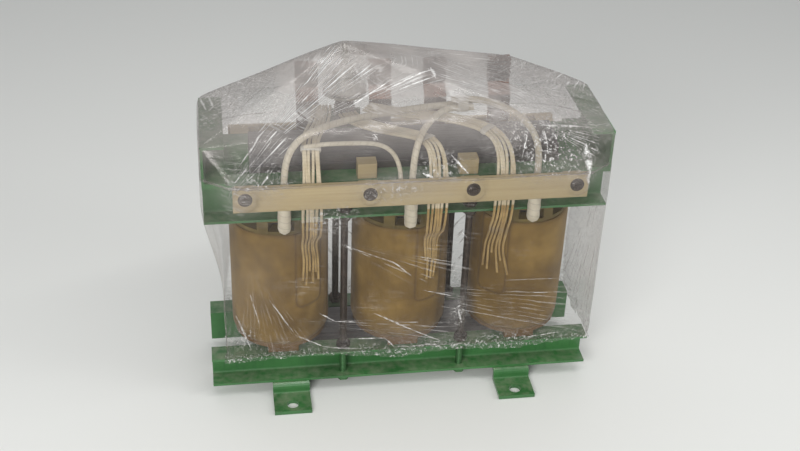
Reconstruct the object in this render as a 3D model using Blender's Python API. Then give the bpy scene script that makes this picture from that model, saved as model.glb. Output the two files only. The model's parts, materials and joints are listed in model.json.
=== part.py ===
"""Core-and-coil assembly of a three-phase oil transformer, out of its tank and wrapped in film.

Metres, +Z up, +X along the row of coils, the high-voltage side faces -Y.
The origin is on the floor, under the middle of the middle coil.
"""
import math

import bmesh
import bpy
from mathutils import Vector

# Clearances
fit_gap = 0.0003
slide_gap = 0.0005
overrun = 0.004

# Magnetic core
limb_pitch = 0.240
core_diameter = 0.125
window_height = 0.317
yoke_floor_gap = 0.006
yoke_end_length = 0.052
packet_depth_shares = (0.563, 0.763, 0.907)

# Coils and their end rings
winding_build = 0.034
coil_bore_gap = 0.0015
low_winding_share = 0.29
duct_width = 0.005
duct_depth = 0.008
coil_edge_radius = 0.004
lower_ring_height = 0.010
upper_ring_height = 0.037
ring_inset = 0.006
ring_block_count = 8
ring_block_width = 0.022
ring_disc_thickness = 0.008
pad_length = 0.060
pad_depth = 0.026

# Clamps, rolled channels with the flanges outward
clamp_end_margin = 0.044
clamp_depth = 0.043
clamp_thickness = 0.005
clamp_root_radius = 0.004
lower_clamp_floor_height = 0.030
lower_clamp_height = 0.066
upper_clamp_height = 0.080
upper_clamp_drop = 0.038

# End members with a lifting hole
end_member_height = 0.080
lifting_hole_diameter = 0.030

# Feet
foot_inset = 0.013
foot_width = 0.074
foot_thickness = 0.008
foot_tongue_length = 0.066
foot_seat_depth = 0.038
foot_hole_diameter = 0.024
foot_hole_edge = 0.021
foot_corner_radius = 0.003

# Tie rods
rod_diameter = 0.014
rod_offset = 0.023
rod_tail = 0.004
nut_across_flats = 0.024
nut_height = 0.012

# Lead support strips
strip_end_inset = 0.054
strip_height = 0.050
strip_thickness = 0.012
strip_stand_off = 0.029
strip_rise = 0.016
strip_edge_radius = 0.002
post_width = 0.036
post_inset = 0.004
outer_post_inset = 0.022
inner_left_post_share = -0.334
inner_right_post_share = 0.459

# Blocks on the front upper clamp, behind the inner posts
lead_block_height = 0.030
lead_block_depth = 0.028
lead_block_inset = 0.005

# High-voltage leads, their routes as shares of the limb pitch, of the way from the stubs' line
# back to the tied row, and of the way from the stubs' top up to the tied row
lead_diameter = 0.013
stub_diameter = 0.025
stub_drop = 0.064
stub_length = 0.086
stub_taper = 0.020
stub_place_share = 0.98
stub_tip_share = 0.4
lead_top_rise = 0.0775
lead_row_line = 0.042
lead_stack_rise = 0.0126
lead_route_shares = {
    "left": [
        (-0.975, 0, 0.41), (-0.925, 0.165, 0.68), (-0.79, 0.42, 0.85), (-0.458, 0.73, 0.945), (0, 0.96, 0.99)],
    "centre": [(0.004, 0, 0.395), (0.033, 0.137, 0.693), (0.125, 0.515, 0.913)],
    "right": [(0.983, 0, 0.355), (0.975, 0.11, 0.646), (0.896, 0.407, 0.898), (0.73, 0.757, 1.055)],
}

# Tape round the high-voltage leads
tape_place_share = 0.417
tape_width = 0.020
tape_thickness = 0.0012
tape_run_in = 0.030
tape_tail = 0.010

# Tap leads, their upper routes as shares of the limb pitch, of the way from behind the strip to the
# tap changer and of the tap route's rise, with the direction of the flat side
tap_wire_diameter = 0.0066
tap_wire_spacing = 0.0060
tap_wire_count = 6
tap_length_on_coil = 0.124
tap_bend_drop = 0.040
tap_bend_rise = 0.012
tap_route_rise = 0.040
tap_exit_offsets = {"left": 0.055, "centre": 0.048, "right": -0.066}
tap_route_shares = {
    "left": [
        (-0.771, 0.084, 0.66, (1, 0, 0)), (-0.758, 0.256, 0.91, (1, 0, 0)), (-0.692, 0.491, 0.56, (1, 0.1, 0)),
        (-0.633, 0.726, 0.385, (1, 0.1, 0)), (-0.608, 0.930, 0.385, (1, 0, 0))],
    "centre": [
        (0.192, 0.084, 0.51, (1, 0, 0)), (0.142, 0.233, 0.76, (1, 0.5, 0)), (-0.063, 0.421, 0.46, (1, 1, 0)),
        (-0.258, 0.624, 0.185, (1, 0.9, 0)), (-0.383, 0.781, 0.11, (1, 0.3, 0)),
        (-0.408, 0.875, 0.11, (1, 0, 0))],
    "right": [
        (0.721, 0.084, 0.66, (1, 0, 0)), (0.625, 0.248, 1.11, (1, 0.7, 0)), (0.333, 0.475, 1.01, (1, 1.3, 0)),
        (0.025, 0.655, 0.66, (1, 1.4, 0)), (-0.158, 0.804, 0.46, (1, 1.4, 0)),
        (-0.250, 0.867, 0.435, (1, 1.2, 0))],
}

# Tap changer
tap_changer_share = -0.417
tap_changer_offset = 0.018
tap_body_diameter = 0.036
tap_body_height = 0.068
tap_flange_diameter = 0.085
tap_flange_thickness = 0.005
tap_flange_space = 0.004
tap_bell_diameter = 0.058
tap_bell_top_diameter = 0.024
tap_bell_height = 0.056
tap_bell_shares = (0, 0.3, 0.6, 0.8, 1)
tap_stem_diameter = 0.012
tap_stem_height = 0.034
bracket_width = 0.070
bracket_thickness = 0.005
bracket_lip = 0.018
bracket_margin = 0.012

# Low-voltage leads
bar_width = 0.044
bar_thickness = 0.006
bar_lower_drop = 0.020
bar_flange_gap = 0.0075
flag_step = 0.030
flag_leaf_count = 5
flag_leaf_thickness = 0.0045
flag_leaf_space = 0.0045
flag_leaf_length = 0.014
flag_bend_height = 0.030
flag_base_rise = 0.0444
bar_place_shares = {"c": 0.342, "n": 0.883}

# Film
film_thickness = 0.0015
film_clearance = 0.0012
film_round_clearance = 0.0024

# Levels and lines that follow from the sizes above
core_radius = core_diameter / 2
packet_depths = [share * core_radius for share in packet_depth_shares]
packet_widths = [math.sqrt(core_radius ** 2 - depth ** 2) for depth in packet_depths]
clamp_back = packet_depths[-1] + fit_gap
yoke_height = 2 * packet_widths[0]
lower_yoke_top = yoke_floor_gap + yoke_height
upper_yoke_base = lower_yoke_top + window_height
upper_yoke_top = upper_yoke_base + yoke_height
lower_clamp_top = lower_clamp_floor_height + lower_clamp_height
upper_clamp_top = upper_yoke_top - upper_clamp_drop
upper_clamp_base = upper_clamp_top - upper_clamp_height
clamp_edge = clamp_back + clamp_depth
coil_base = lower_yoke_top + 2 * fit_gap + lower_ring_height
coil_top = upper_clamp_base - 2 * fit_gap - upper_ring_height
coil_bore_radius = core_radius + coil_bore_gap
coil_radius = coil_bore_radius + winding_build
ring_radius = coil_radius - ring_inset
clamp_half_length = limb_pitch + coil_radius + clamp_end_margin
limb_places = (-limb_pitch, 0, limb_pitch)
side_names = ("left", "centre", "right")
gap_places = (-limb_pitch / 2, limb_pitch / 2)
rod_line = clamp_back + rod_offset
foot_place = limb_pitch - foot_inset
foot_reach = clamp_edge + foot_tongue_length
strip_half_length = clamp_half_length - strip_end_inset
strip_back = clamp_edge + strip_stand_off
strip_front = strip_back + strip_thickness
strip_top = upper_clamp_top + strip_rise
strip_base = strip_top - strip_height
end_member_base = upper_clamp_top + fit_gap
end_member_top = end_member_base + end_member_height
lead_radius = lead_diameter / 2
lead_top = upper_yoke_top + lead_top_rise
tape_centre = limb_pitch * tape_place_share
tap_base = upper_clamp_top + bracket_thickness + 2 * fit_gap
tap_changer_place = (limb_pitch * tap_changer_share, clamp_edge + tap_changer_offset)
tap_flange_base = tap_base + tap_body_height
tap_flange_top = tap_flange_base + 2 * tap_flange_thickness + tap_flange_space
tap_bell_top = tap_flange_top + tap_bell_height
flag_base = upper_yoke_top + flag_base_rise
bracket_reach = tap_changer_place[1] + tap_body_diameter / 2 + bracket_margin


def clear_scene():
    for item in list(bpy.data.objects):
        bpy.data.objects.remove(item, do_unlink=True)


def make_material(name, colour, roughness, metallic=0.0):
    material = bpy.data.materials.new(name)
    material.use_nodes = True
    shader = material.node_tree.nodes["Principled BSDF"]
    shader.inputs["Base Color"].default_value = (*colour, 1.0)
    shader.inputs["Roughness"].default_value = roughness
    shader.inputs["Metallic"].default_value = metallic
    material.diffuse_color = (*colour, 1.0)
    return material


def add_object(name, mesh, material, smooth=False):
    item = bpy.data.objects.new(name, mesh)
    bpy.context.scene.collection.objects.link(item)
    mesh.materials.append(material)
    if smooth:
        mesh.shade_smooth()
        mesh.set_sharp_from_angle(angle=math.radians(35))
    return item


def mesh_from(shape, name):
    bmesh.ops.recalc_face_normals(shape, faces=shape.faces)
    mesh = bpy.data.meshes.new(name)
    shape.to_mesh(mesh)
    shape.free()
    return mesh


def on_axis(axis, along, first, second):
    """A point from its place along an axis and its two places across it, in the order of X, Y, Z."""
    place = [first, second]
    place.insert("XYZ".index(axis), along)
    return Vector(place)


def prism_mesh(name, outline, axis, start, end):
    """The outline extruded along an axis from start to end."""
    shape = bmesh.new()
    corners = [shape.verts.new(on_axis(axis, start, *point)) for point in outline]
    face = shape.faces.new(corners)
    grown = bmesh.ops.extrude_face_region(shape, geom=[face])["geom"]
    moved = [part for part in grown if isinstance(part, bmesh.types.BMVert)]
    bmesh.ops.translate(shape, verts=moved, vec=on_axis(axis, end - start, 0, 0))
    return mesh_from(shape, name)


def prism(name, outline, axis, start, end, material, smooth=False):
    return add_object(name, prism_mesh(name, outline, axis, start, end), material, smooth)


def turned_mesh(name, profile, steps, closed=False):
    """The profile of radius and height spun once round Z."""
    shape = bmesh.new()
    points = [shape.verts.new((radius, 0, height)) for radius, height in profile]
    pairs = list(zip(points, points[1:]))
    if closed:
        pairs.append((points[-1], points[0]))
    edges = [shape.edges.new(pair) for pair in pairs]
    bmesh.ops.spin(
        shape, geom=points + edges, cent=(0, 0, 0), axis=(0, 0, 1), dvec=(0, 0, 0),
        angle=math.tau, steps=steps, use_merge=True, use_duplicate=False)
    bmesh.ops.remove_doubles(shape, verts=shape.verts, dist=fit_gap / 10)
    return mesh_from(shape, name)


def loft_mesh(name, rings):
    """Rings of points joined in order, with a face over each end."""
    shape = bmesh.new()
    loops = [[shape.verts.new(point) for point in ring] for ring in rings]
    count = len(loops[0])
    for lower, upper in zip(loops, loops[1:]):
        for index in range(count):
            after = (index + 1) % count
            shape.faces.new((lower[index], lower[after], upper[after], upper[index]))
    shape.faces.new(list(reversed(loops[0])))
    shape.faces.new(loops[-1])
    return mesh_from(shape, name)


def arc(centre, radius, start, end, steps):
    """Points on an arc, angles in degrees."""
    points = []
    for step in range(steps + 1):
        angle = math.radians(start + (end - start) * step / steps)
        points.append((centre[0] + radius * math.cos(angle), centre[1] + radius * math.sin(angle)))
    return points


def rectangle(left, right, low, high):
    return [(left, low), (right, low), (right, high), (left, high)]


def round_rectangle(left, right, low, high, radius, steps=3):
    points = arc((left + radius, low + radius), radius, 180, 270, steps)
    points += arc((right - radius, low + radius), radius, 270, 360, steps)
    points += arc((right - radius, high - radius), radius, 0, 90, steps)
    points += arc((left + radius, high - radius), radius, 90, 180, steps)
    return points


def channel_outline(back, low, height, depth, thickness, root, facing):
    """A C section whose back is at one side and whose flanges point to facing, 1 or -1."""
    inner = thickness
    points = [(0, 0), (depth, 0), (depth, thickness)]
    points += arc((inner + root, thickness + root), root, 270, 180, 3)
    points += arc((inner + root, height - thickness - root), root, 180, 90, 3)
    points += [(depth, height - thickness), (depth, height), (0, height)]
    return [(back + facing * across, low + up) for across, up in points]


def make_cutter(name, mesh):
    cutter = bpy.data.objects.new(name, mesh)
    bpy.context.scene.collection.objects.link(cutter)
    cutter.hide_render = True
    cutter.display_type = "WIRE"
    return cutter


def combine(item, other, operation):
    step = item.modifiers.new(other.name, "BOOLEAN")
    step.operation = operation
    step.solver = "EXACT"
    step.object = other


def disc_outline(centre, radius, steps):
    return arc(centre, radius, 0, 360 - 360 / steps, steps - 1)


def hexagon(centre, across_flats):
    return disc_outline(centre, across_flats / math.sqrt(3), 6)


def smooth_route(points, steps):
    """An even curve drawn by the points, which never swings past them, read at equal steps."""
    places = [Vector(point) for point in points]
    first = 2 * places[0] - places[1]
    last = 2 * places[-1] - places[-2]
    padded = [first] + places + [last]
    route = []
    for index in range(1, len(padded) - 2):
        before, start, end, after = padded[index - 1:index + 3]
        for step in range(steps):
            share = step / steps
            route.append((
                before * (1 - share) ** 3
                + start * (3 * share ** 3 - 6 * share ** 2 + 4)
                + end * (-3 * share ** 3 + 3 * share ** 2 + 3 * share + 1)
                + after * share ** 3) / 6)
    route.append(places[-1])
    return route


def tube(name, route, radii, material, resolution=2):
    """A round lead along a route, with one radius at each point."""
    data = bpy.data.curves.new(name, "CURVE")
    data.dimensions = "3D"
    data.bevel_depth = max(radii)
    data.bevel_resolution = resolution
    data.use_fill_caps = True
    spline = data.splines.new("POLY")
    spline.points.add(len(route) - 1)
    for point, place, radius in zip(spline.points, route, radii):
        point.co = (*place, 1)
        point.radius = radius / data.bevel_depth
    data.materials.append(material)
    item = bpy.data.objects.new(name, data)
    bpy.context.scene.collection.objects.link(item)
    return item


def build_yokes(steel):
    half = limb_pitch + yoke_end_length
    for name, base in (("lower_yoke", yoke_floor_gap), ("upper_yoke", upper_yoke_base)):
        middle = base + yoke_height / 2
        corners = []
        for depth, width in zip(packet_depths, packet_widths):
            corners.append((depth, width))
        upper = []
        for index, (depth, width) in enumerate(corners):
            if index:
                upper.append((corners[index - 1][0], width))
            upper.append((depth, width))
        right = [(depth, middle + width) for depth, width in upper]
        outline = right + [(depth, 2 * middle - height) for depth, height in reversed(right)]
        outline += [(-depth, 2 * middle - height) for depth, height in right]
        outline += [(-depth, height) for depth, height in reversed(right)]
        prism(name, outline, "X", -half, half, steel)


def build_limbs(steel):
    quarter = []
    for index, (depth, width) in enumerate(zip(packet_depths, packet_widths)):
        if index:
            quarter.append((width, packet_depths[index - 1]))
        quarter.append((width, depth))
    outline = quarter + [(-width, depth) for width, depth in reversed(quarter)]
    outline += [(-width, -depth) for width, depth in quarter]
    outline += [(width, -depth) for width, depth in reversed(quarter)]
    for side, place in zip(side_names, limb_places):
        limb = prism(
            "core_limb_" + side, outline, "Z", lower_yoke_top + fit_gap, upper_yoke_base - fit_gap, steel)
        limb.location.x = place


def build_coils(paper):
    duct_inner = coil_bore_radius + low_winding_share * winding_build
    duct_outer = duct_inner + duct_width
    lower_edge = arc(
        (coil_radius - coil_edge_radius, coil_base + coil_edge_radius), coil_edge_radius, 270, 360, 2)
    upper_edge = arc((coil_radius - coil_edge_radius, coil_top - coil_edge_radius), coil_edge_radius, 0, 90, 2)
    profile = lower_edge + upper_edge
    profile += [(duct_outer, coil_top), (duct_outer, coil_top - duct_depth)]
    profile += [(duct_inner, coil_top - duct_depth), (duct_inner, coil_top)]
    profile += [(coil_bore_radius, coil_top), (coil_bore_radius, coil_base)]
    profile += [(duct_inner, coil_base), (duct_inner, coil_base + duct_depth)]
    profile += [(duct_outer, coil_base + duct_depth), (duct_outer, coil_base)]
    for side, place in zip(side_names, limb_places):
        mesh = turned_mesh("coil_" + side, profile, 28, closed=True)
        coil = add_object("coil_" + side, mesh, paper, smooth=True)
        coil.location.x = place


def build_end_rings(board):
    """Pressboard rings above and below each coil, with the blocks that pass the load to the clamps."""
    bore = coil_bore_radius
    outer = ring_radius
    for side, place in zip(side_names, limb_places):
        base = lower_yoke_top + fit_gap
        profile = [(bore, base), (outer, base)]
        profile += [(outer, base + lower_ring_height), (bore, base + lower_ring_height)]
        mesh = turned_mesh("lower_end_ring_" + side, profile, 20, closed=True)
        lower = add_object("lower_end_ring_" + side, mesh, board, smooth=True)
        lower.location.x = place
        pad_inner = clamp_back + clamp_root_radius
        for facing in (-1, 1):
            edges = sorted((facing * pad_inner, facing * (pad_inner + pad_depth)))
            outline = rectangle(-pad_length / 2, pad_length / 2, *edges)
            pad = make_cutter(
                f"pad_{side}_{facing}",
                prism_mesh("pad", outline, "Z", lower_clamp_top + fit_gap, base + lower_ring_height / 2))
            pad.location.x = place
            combine(lower, pad, "UNION")
        start = coil_top + fit_gap
        end = upper_clamp_base - fit_gap
        profile = [(bore, start), (outer, start), (outer, start + ring_disc_thickness)]
        profile += [(bore, start + ring_disc_thickness)]
        upper = add_object(
            "upper_end_ring_" + side,
            turned_mesh("upper_end_ring_" + side, profile, 24, closed=True), board, smooth=True)
        upper.location.x = place
        for index in range(ring_block_count):
            half = ring_block_width / 2
            outline = rectangle(bore + slide_gap, outer - slide_gap, -half, half)
            sunk = ring_disc_thickness / 2
            block = make_cutter(
                f"block_{side}_{index}", prism_mesh("block", outline, "Z", start + sunk, end - sunk))
            block.location.x = place
            block.rotation_euler.z = math.tau * (index + 0.5) / ring_block_count
            combine(upper, block, "UNION")
        profile = [(bore, end - ring_disc_thickness), (outer, end - ring_disc_thickness)]
        profile += [(outer, end), (bore, end)]
        cap = make_cutter("cap_" + side, turned_mesh("cap", profile, 24, closed=True))
        cap.location.x = place
        combine(upper, cap, "UNION")


def build_clamps(green):
    half = clamp_half_length
    for side, facing in (("front", -1), ("rear", 1)):
        outline = channel_outline(
            facing * clamp_back, lower_clamp_floor_height, lower_clamp_height, clamp_depth,
            clamp_thickness, clamp_root_radius, facing)
        lower = prism("lower_clamp_" + side, outline, "X", -half, half, green)
        outline = channel_outline(
            facing * clamp_back, upper_clamp_base, upper_clamp_height, clamp_depth,
            clamp_thickness, clamp_root_radius, facing)
        upper = prism("upper_clamp_" + side, outline, "X", -half, half, green)
        for index, place in enumerate(gap_places):
            outline = disc_outline((place, facing * rod_line), rod_diameter / 2 + slide_gap, 12)
            low = make_cutter(
                f"lower_rod_hole_{side}_{index}",
                prism_mesh(
                    "rod_hole", outline, "Z", lower_clamp_floor_height - overrun, lower_clamp_top + overrun))
            combine(lower, low, "DIFFERENCE")
            high = make_cutter(
                f"upper_rod_hole_{side}_{index}",
                prism_mesh(
                    "rod_hole", outline, "Z", upper_clamp_base - overrun,
                    upper_clamp_base + clamp_thickness + overrun))
            combine(upper, high, "DIFFERENCE")


def build_end_members(green):
    """Channels across the two upper clamps, backs outward, each with a lifting hole."""
    for side, facing in (("left", -1), ("right", 1)):
        outline = channel_outline(
            facing * clamp_half_length, end_member_base, end_member_height, clamp_depth,
            clamp_thickness, clamp_root_radius, -facing)
        member = prism("end_member_" + side, outline, "Y", -clamp_edge, clamp_edge, green)
        outline = disc_outline((0, (end_member_base + end_member_top) / 2), lifting_hole_diameter / 2, 20)
        edges = sorted((
            facing * (clamp_half_length + overrun), facing * (clamp_half_length - clamp_thickness - overrun)))
        hole = make_cutter("lifting_hole_" + side, prism_mesh("lifting_hole", outline, "X", *edges))
        combine(member, hole, "DIFFERENCE")


def build_feet(green):
    """Joggled feet: a seat under the clamp flange, a short riser and a tongue on the floor."""
    seat_top = lower_clamp_floor_height - fit_gap
    seat_base = seat_top - foot_thickness
    riser_outer = clamp_edge + foot_thickness
    outer = foot_corner_radius + foot_thickness
    for row, facing in (("front", -1), ("rear", 1)):
        outline = [(clamp_edge - foot_seat_depth, seat_top), (clamp_edge - foot_seat_depth, seat_base)]
        outline += [(clamp_edge, seat_base), (clamp_edge, 0), (foot_reach, 0), (foot_reach, foot_thickness)]
        outline += arc(
            (riser_outer + foot_corner_radius, outer), foot_corner_radius, 270, 180, 3)
        outline += arc((riser_outer - outer, seat_top - outer), outer, 0, 90, 4)
        outline = [(facing * across, up) for across, up in outline]
        for side, place in (("left", -foot_place), ("right", foot_place)):
            foot = prism(
                f"foot_{row}_{side}", outline, "X", place - foot_width / 2, place + foot_width / 2, green)
            centre = (place, facing * (foot_reach - foot_hole_edge))
            hole = make_cutter(
                f"foot_hole_{row}_{side}",
                prism_mesh(
                    "foot_hole", disc_outline(centre, foot_hole_diameter / 2, 20), "Z",
                    -overrun, foot_thickness + overrun))
            combine(foot, hole, "DIFFERENCE")


def build_tie_rods(steel):
    """Rods between the clamps, in the gaps between the coils, with a nut on each side of the upper flange."""
    nut_faces = (
        lower_clamp_floor_height - fit_gap - nut_height, lower_clamp_top + fit_gap,
        upper_clamp_base - fit_gap - nut_height, upper_clamp_base + clamp_thickness + fit_gap)
    start = nut_faces[0] - rod_tail
    end = nut_faces[-1] + nut_height + rod_tail
    for row, facing in (("front", -1), ("rear", 1)):
        for side, place in zip(("left", "right"), gap_places):
            centre = (place, facing * rod_line)
            rod = prism(
                f"tie_rod_{row}_{side}", disc_outline(centre, rod_diameter / 2, 12), "Z", start, end,
                steel, smooth=True)
            for index, face in enumerate(nut_faces):
                nut = make_cutter(
                    f"nut_{row}_{side}_{index}",
                    prism_mesh("nut", hexagon(centre, nut_across_flats), "Z", face, face + nut_height))
                combine(rod, nut, "UNION")


def inner_post_places():
    return {"left": limb_pitch * inner_left_post_share, "right": limb_pitch * inner_right_post_share}


def post_places():
    outer = strip_half_length - outer_post_inset
    places = {"outer_left": -outer, "outer_right": outer}
    for side, place in inner_post_places().items():
        places["inner_" + side] = place
    return places


def build_strips(wood):
    """Wooden strips in front of and behind the upper clamps, on posts that stand off the flanges."""
    half = strip_half_length
    for row, facing, top in (("front", -1, strip_top), ("rear", 1, upper_clamp_top)):
        edges = sorted((facing * strip_back, facing * strip_front))
        outline = round_rectangle(*edges, top - strip_height, top, strip_edge_radius)
        prism("lead_strip_" + row, outline, "X", -half, half, wood)
        edges = sorted((facing * (clamp_edge + fit_gap), facing * (strip_back - fit_gap)))
        for name, place in post_places().items():
            if name.startswith("inner") and row == "rear":
                continue
            outline = round_rectangle(
                place - post_width / 2, place + post_width / 2, *edges, strip_edge_radius)
            base = top - strip_height + post_inset
            prism(f"strip_post_{row}_{name}", outline, "Z", base, upper_clamp_top, wood)


def build_lead_blocks(wood):
    """Two wooden blocks on the top flange of the front upper clamp."""
    front = clamp_edge - lead_block_inset
    base = upper_clamp_top + fit_gap
    for side, place in inner_post_places().items():
        outline = round_rectangle(
            place - post_width / 2, place + post_width / 2, -front, lead_block_depth - front, strip_edge_radius)
        prism("lead_block_" + side, outline, "Z", base, base + lead_block_height, wood)


def lead_routes():
    """Routes of the three high-voltage leads, from the stub up behind the strip to the tape."""
    line = -(strip_back - fit_gap - stub_diameter / 2)
    low = strip_base - stub_drop
    start = low + stub_length
    tied = {
        "left": (1, -lead_row_line + lead_radius + fit_gap, lead_top),
        "centre": (1, -lead_row_line - lead_radius - fit_gap, lead_top),
        "right": (-1, -lead_row_line, lead_top + lead_stack_rise),
    }
    routes = {}
    for side, place in zip(side_names, limb_places):
        points = [(place * stub_place_share, line, low), (place * stub_place_share, line, start)]
        for across, back, rise in lead_route_shares[side]:
            points.append((
                limb_pitch * across, line + (-lead_row_line - line) * back, start + (lead_top - start) * rise))
        heading, row, level = tied[side]
        for along in (-tape_run_in, -tape_width / 2, tape_width / 2, tape_width / 2 + tape_tail):
            points.append((tape_centre + heading * along, row, level))
        routes[side] = points
    return routes


def build_leads(crepe):
    for side, points in lead_routes().items():
        route = smooth_route(points, 3)
        radii = []
        for place in route:
            above = place.z - points[0][2]
            share = min(max((above - stub_length) / stub_taper, 0), 1)
            radius = stub_diameter / 2 + (lead_radius - stub_diameter / 2) * share
            if above < stub_diameter / 2:
                drop = 1 - above / (stub_diameter / 2)
                radius *= max(math.sqrt(1 - drop ** 2), stub_tip_share)
            radii.append(radius)
        tube("hv_lead_" + side, route, radii, crepe)


def hull_outline(points):
    """The smallest convex outline round the points, anticlockwise."""
    ordered = sorted(set(points))
    halves = []
    for sequence in (ordered, list(reversed(ordered))):
        side = []
        for point in sequence:
            while len(side) > 1:
                (ax, ay), (bx, by) = side[-2], side[-1]
                if (bx - ax) * (point[1] - ay) - (by - ay) * (point[0] - ax) > 0:
                    break
                side.pop()
            side.append(point)
        halves.append(side[:-1])
    return halves[0] + halves[1]


def build_tape(cotton):
    """The tape band that ties the three high-voltage leads together."""
    centres = (
        (-lead_row_line - lead_radius - fit_gap, lead_top),
        (-lead_row_line + lead_radius + fit_gap, lead_top),
        (-lead_row_line, lead_top + lead_stack_rise))
    outlines = []
    for radius in (lead_radius + fit_gap, lead_radius + fit_gap + tape_thickness):
        points = []
        for centre in centres:
            points += disc_outline(centre, radius, 16)
        outlines.append(hull_outline(points))
    start = tape_centre - tape_width / 2
    end = tape_centre + tape_width / 2
    band = prism("lead_tape", outlines[1], "X", start, end, cotton, smooth=True)
    bore = make_cutter("tape_bore", prism_mesh("tape_bore", outlines[0], "X", start - overrun, end + overrun))
    combine(band, bore, "DIFFERENCE")


def bundle_outline():
    """The outline of a flat row of touching round wires."""
    radius = tap_wire_diameter / 2
    meet = math.degrees(math.acos(tap_wire_spacing / 2 / radius))
    last = tap_wire_count - 1
    points = []
    for index in range(tap_wire_count):
        centre = ((index - last / 2) * tap_wire_spacing, 0)
        start = 180 if index == 0 else 180 - meet
        end = 0 if index == last else meet
        points += arc(centre, radius, start, end, 2)[:-1]
    for index in reversed(range(tap_wire_count)):
        centre = ((index - last / 2) * tap_wire_spacing, 0)
        start = 0 if index == last else -meet
        end = -180 if index == 0 else meet - 180
        points += arc(centre, radius, start, end, 2)[:-1]
    return points


def bundle_routes():
    """Routes of the three flat bundles of tap leads, each point with its width direction."""
    radius = tap_wire_diameter / 2
    behind = -(strip_back - fit_gap - radius)
    across = Vector((1, 0, 0))
    routes = {}
    for side, centre in zip(side_names, limb_places):
        offset = tap_exit_offsets[side]
        angle = math.asin(offset / coil_radius)
        reach = coil_radius + fit_gap + radius
        touch_x = centre + reach * math.sin(angle)
        touch_y = -reach * math.cos(angle)
        tangent = Vector((math.cos(angle), math.sin(angle), 0))
        points = [
            ((touch_x, touch_y, coil_top - tap_length_on_coil), tangent),
            ((touch_x, touch_y, coil_top - (tap_length_on_coil + tap_bend_drop) / 2), tangent),
            ((touch_x, touch_y, coil_top - tap_bend_drop), tangent),
            ((centre + offset, behind, upper_clamp_base - tap_bend_rise), across),
            ((centre + offset, behind, strip_base), across),
            ((centre + offset, behind, strip_top), across)]
        for along, back, rise, width in tap_route_shares[side]:
            place = (
                limb_pitch * along, behind + (tap_changer_place[1] - behind) * back,
                upper_yoke_top + tap_route_rise * rise)
            points.append((place, Vector(width)))
        routes[side] = points
    return routes


def build_bundles(kraft):
    outline = bundle_outline()
    steps = 2
    for side, points in bundle_routes().items():
        route = smooth_route([place for place, width in points], steps)
        widths = smooth_route([width for place, width in points], steps)
        rings = []
        for index, (place, width) in enumerate(zip(route, widths)):
            before = route[max(index - 1, 0)]
            after = route[min(index + 1, len(route) - 1)]
            along = (after - before).normalized()
            sideways = (width - along * width.dot(along)).normalized()
            outward = along.cross(sideways)
            rings.append([place + sideways * a + outward * b for a, b in outline])
        mesh = loft_mesh("tap_leads_" + side, rings)
        add_object("tap_leads_" + side, mesh, kraft, smooth=True)


def build_tap_changer(metal, green):
    """A bracket on the rear clamp and the switch on it: dark body, double flange, bell and stem."""
    centre_x, centre_y = tap_changer_place
    inner = bracket_reach - bracket_thickness
    base = upper_clamp_top + fit_gap
    top = base + bracket_thickness
    outline = [(clamp_back, base), (bracket_reach, base), (bracket_reach, top + bracket_lip)]
    outline += [(inner, top + bracket_lip), (inner, top), (clamp_back, top)]
    prism(
        "tap_changer_bracket", outline, "X", centre_x - bracket_width / 2, centre_x + bracket_width / 2, green)
    body = tap_body_diameter / 2
    flange = tap_flange_diameter / 2
    neck = tap_bell_diameter / 2
    stem = tap_stem_diameter / 2
    profile = [(0, tap_base), (body, tap_base), (body, tap_flange_base)]
    profile += [(flange, tap_flange_base), (flange, tap_flange_base + tap_flange_thickness)]
    profile += [(neck, tap_flange_base + tap_flange_thickness), (neck, tap_flange_top - tap_flange_thickness)]
    profile += [(flange, tap_flange_top - tap_flange_thickness), (flange, tap_flange_top)]
    for share in tap_bell_shares:
        growth = tap_bell_diameter - tap_bell_top_diameter
        radius = tap_bell_top_diameter + growth * math.cos(share * math.pi / 2)
        profile.append((radius / 2, tap_flange_top + tap_bell_height * share))
    profile += [(stem, tap_bell_top), (stem, tap_bell_top + tap_stem_height)]
    profile += [(0, tap_bell_top + tap_stem_height)]
    mesh = turned_mesh("tap_changer", profile, 24)
    switch = add_object("tap_changer", mesh, metal, smooth=True)
    switch.location = (centre_x, centre_y, 0)


def bar_outline():
    """Side view of a low-voltage lead: a bar behind the clamp that ends in a stack of copper leaves."""
    outer = strip_back - fit_gap
    inner = outer - bar_thickness
    start = upper_clamp_base - bar_lower_drop
    pitch = flag_leaf_thickness + flag_leaf_space
    top = flag_base + (flag_leaf_count - 1) * pitch + flag_leaf_thickness
    spine_front = inner + flag_step
    spine_back = spine_front + bar_thickness
    bend = flag_base - flag_bend_height
    points = [(outer, start), (outer, bend), (spine_back, flag_base), (spine_back, top)]
    tip = spine_front - flag_leaf_length
    for index in reversed(range(flag_leaf_count)):
        low = flag_base + index * pitch
        if index < flag_leaf_count - 1:
            points.append((spine_front, low + flag_leaf_thickness))
        points += [(tip, low + flag_leaf_thickness), (tip, low)]
        points.append((spine_front, low))
    points += [(inner, bend), (inner, start)]
    return points


def bar_places():
    """Two bars beside the tap changer's flange and two towards the right."""
    beside = tap_flange_diameter / 2 + bar_flange_gap + bar_width / 2
    places = {"a": tap_changer_place[0] - beside, "b": tap_changer_place[0] + beside}
    for name, share in bar_place_shares.items():
        places[name] = limb_pitch * share
    return places


def build_bars(copper):
    outline = bar_outline()
    for name, place in bar_places().items():
        prism("lv_bar_" + name, outline, "X", place - bar_width / 2, place + bar_width / 2, copper)


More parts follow.
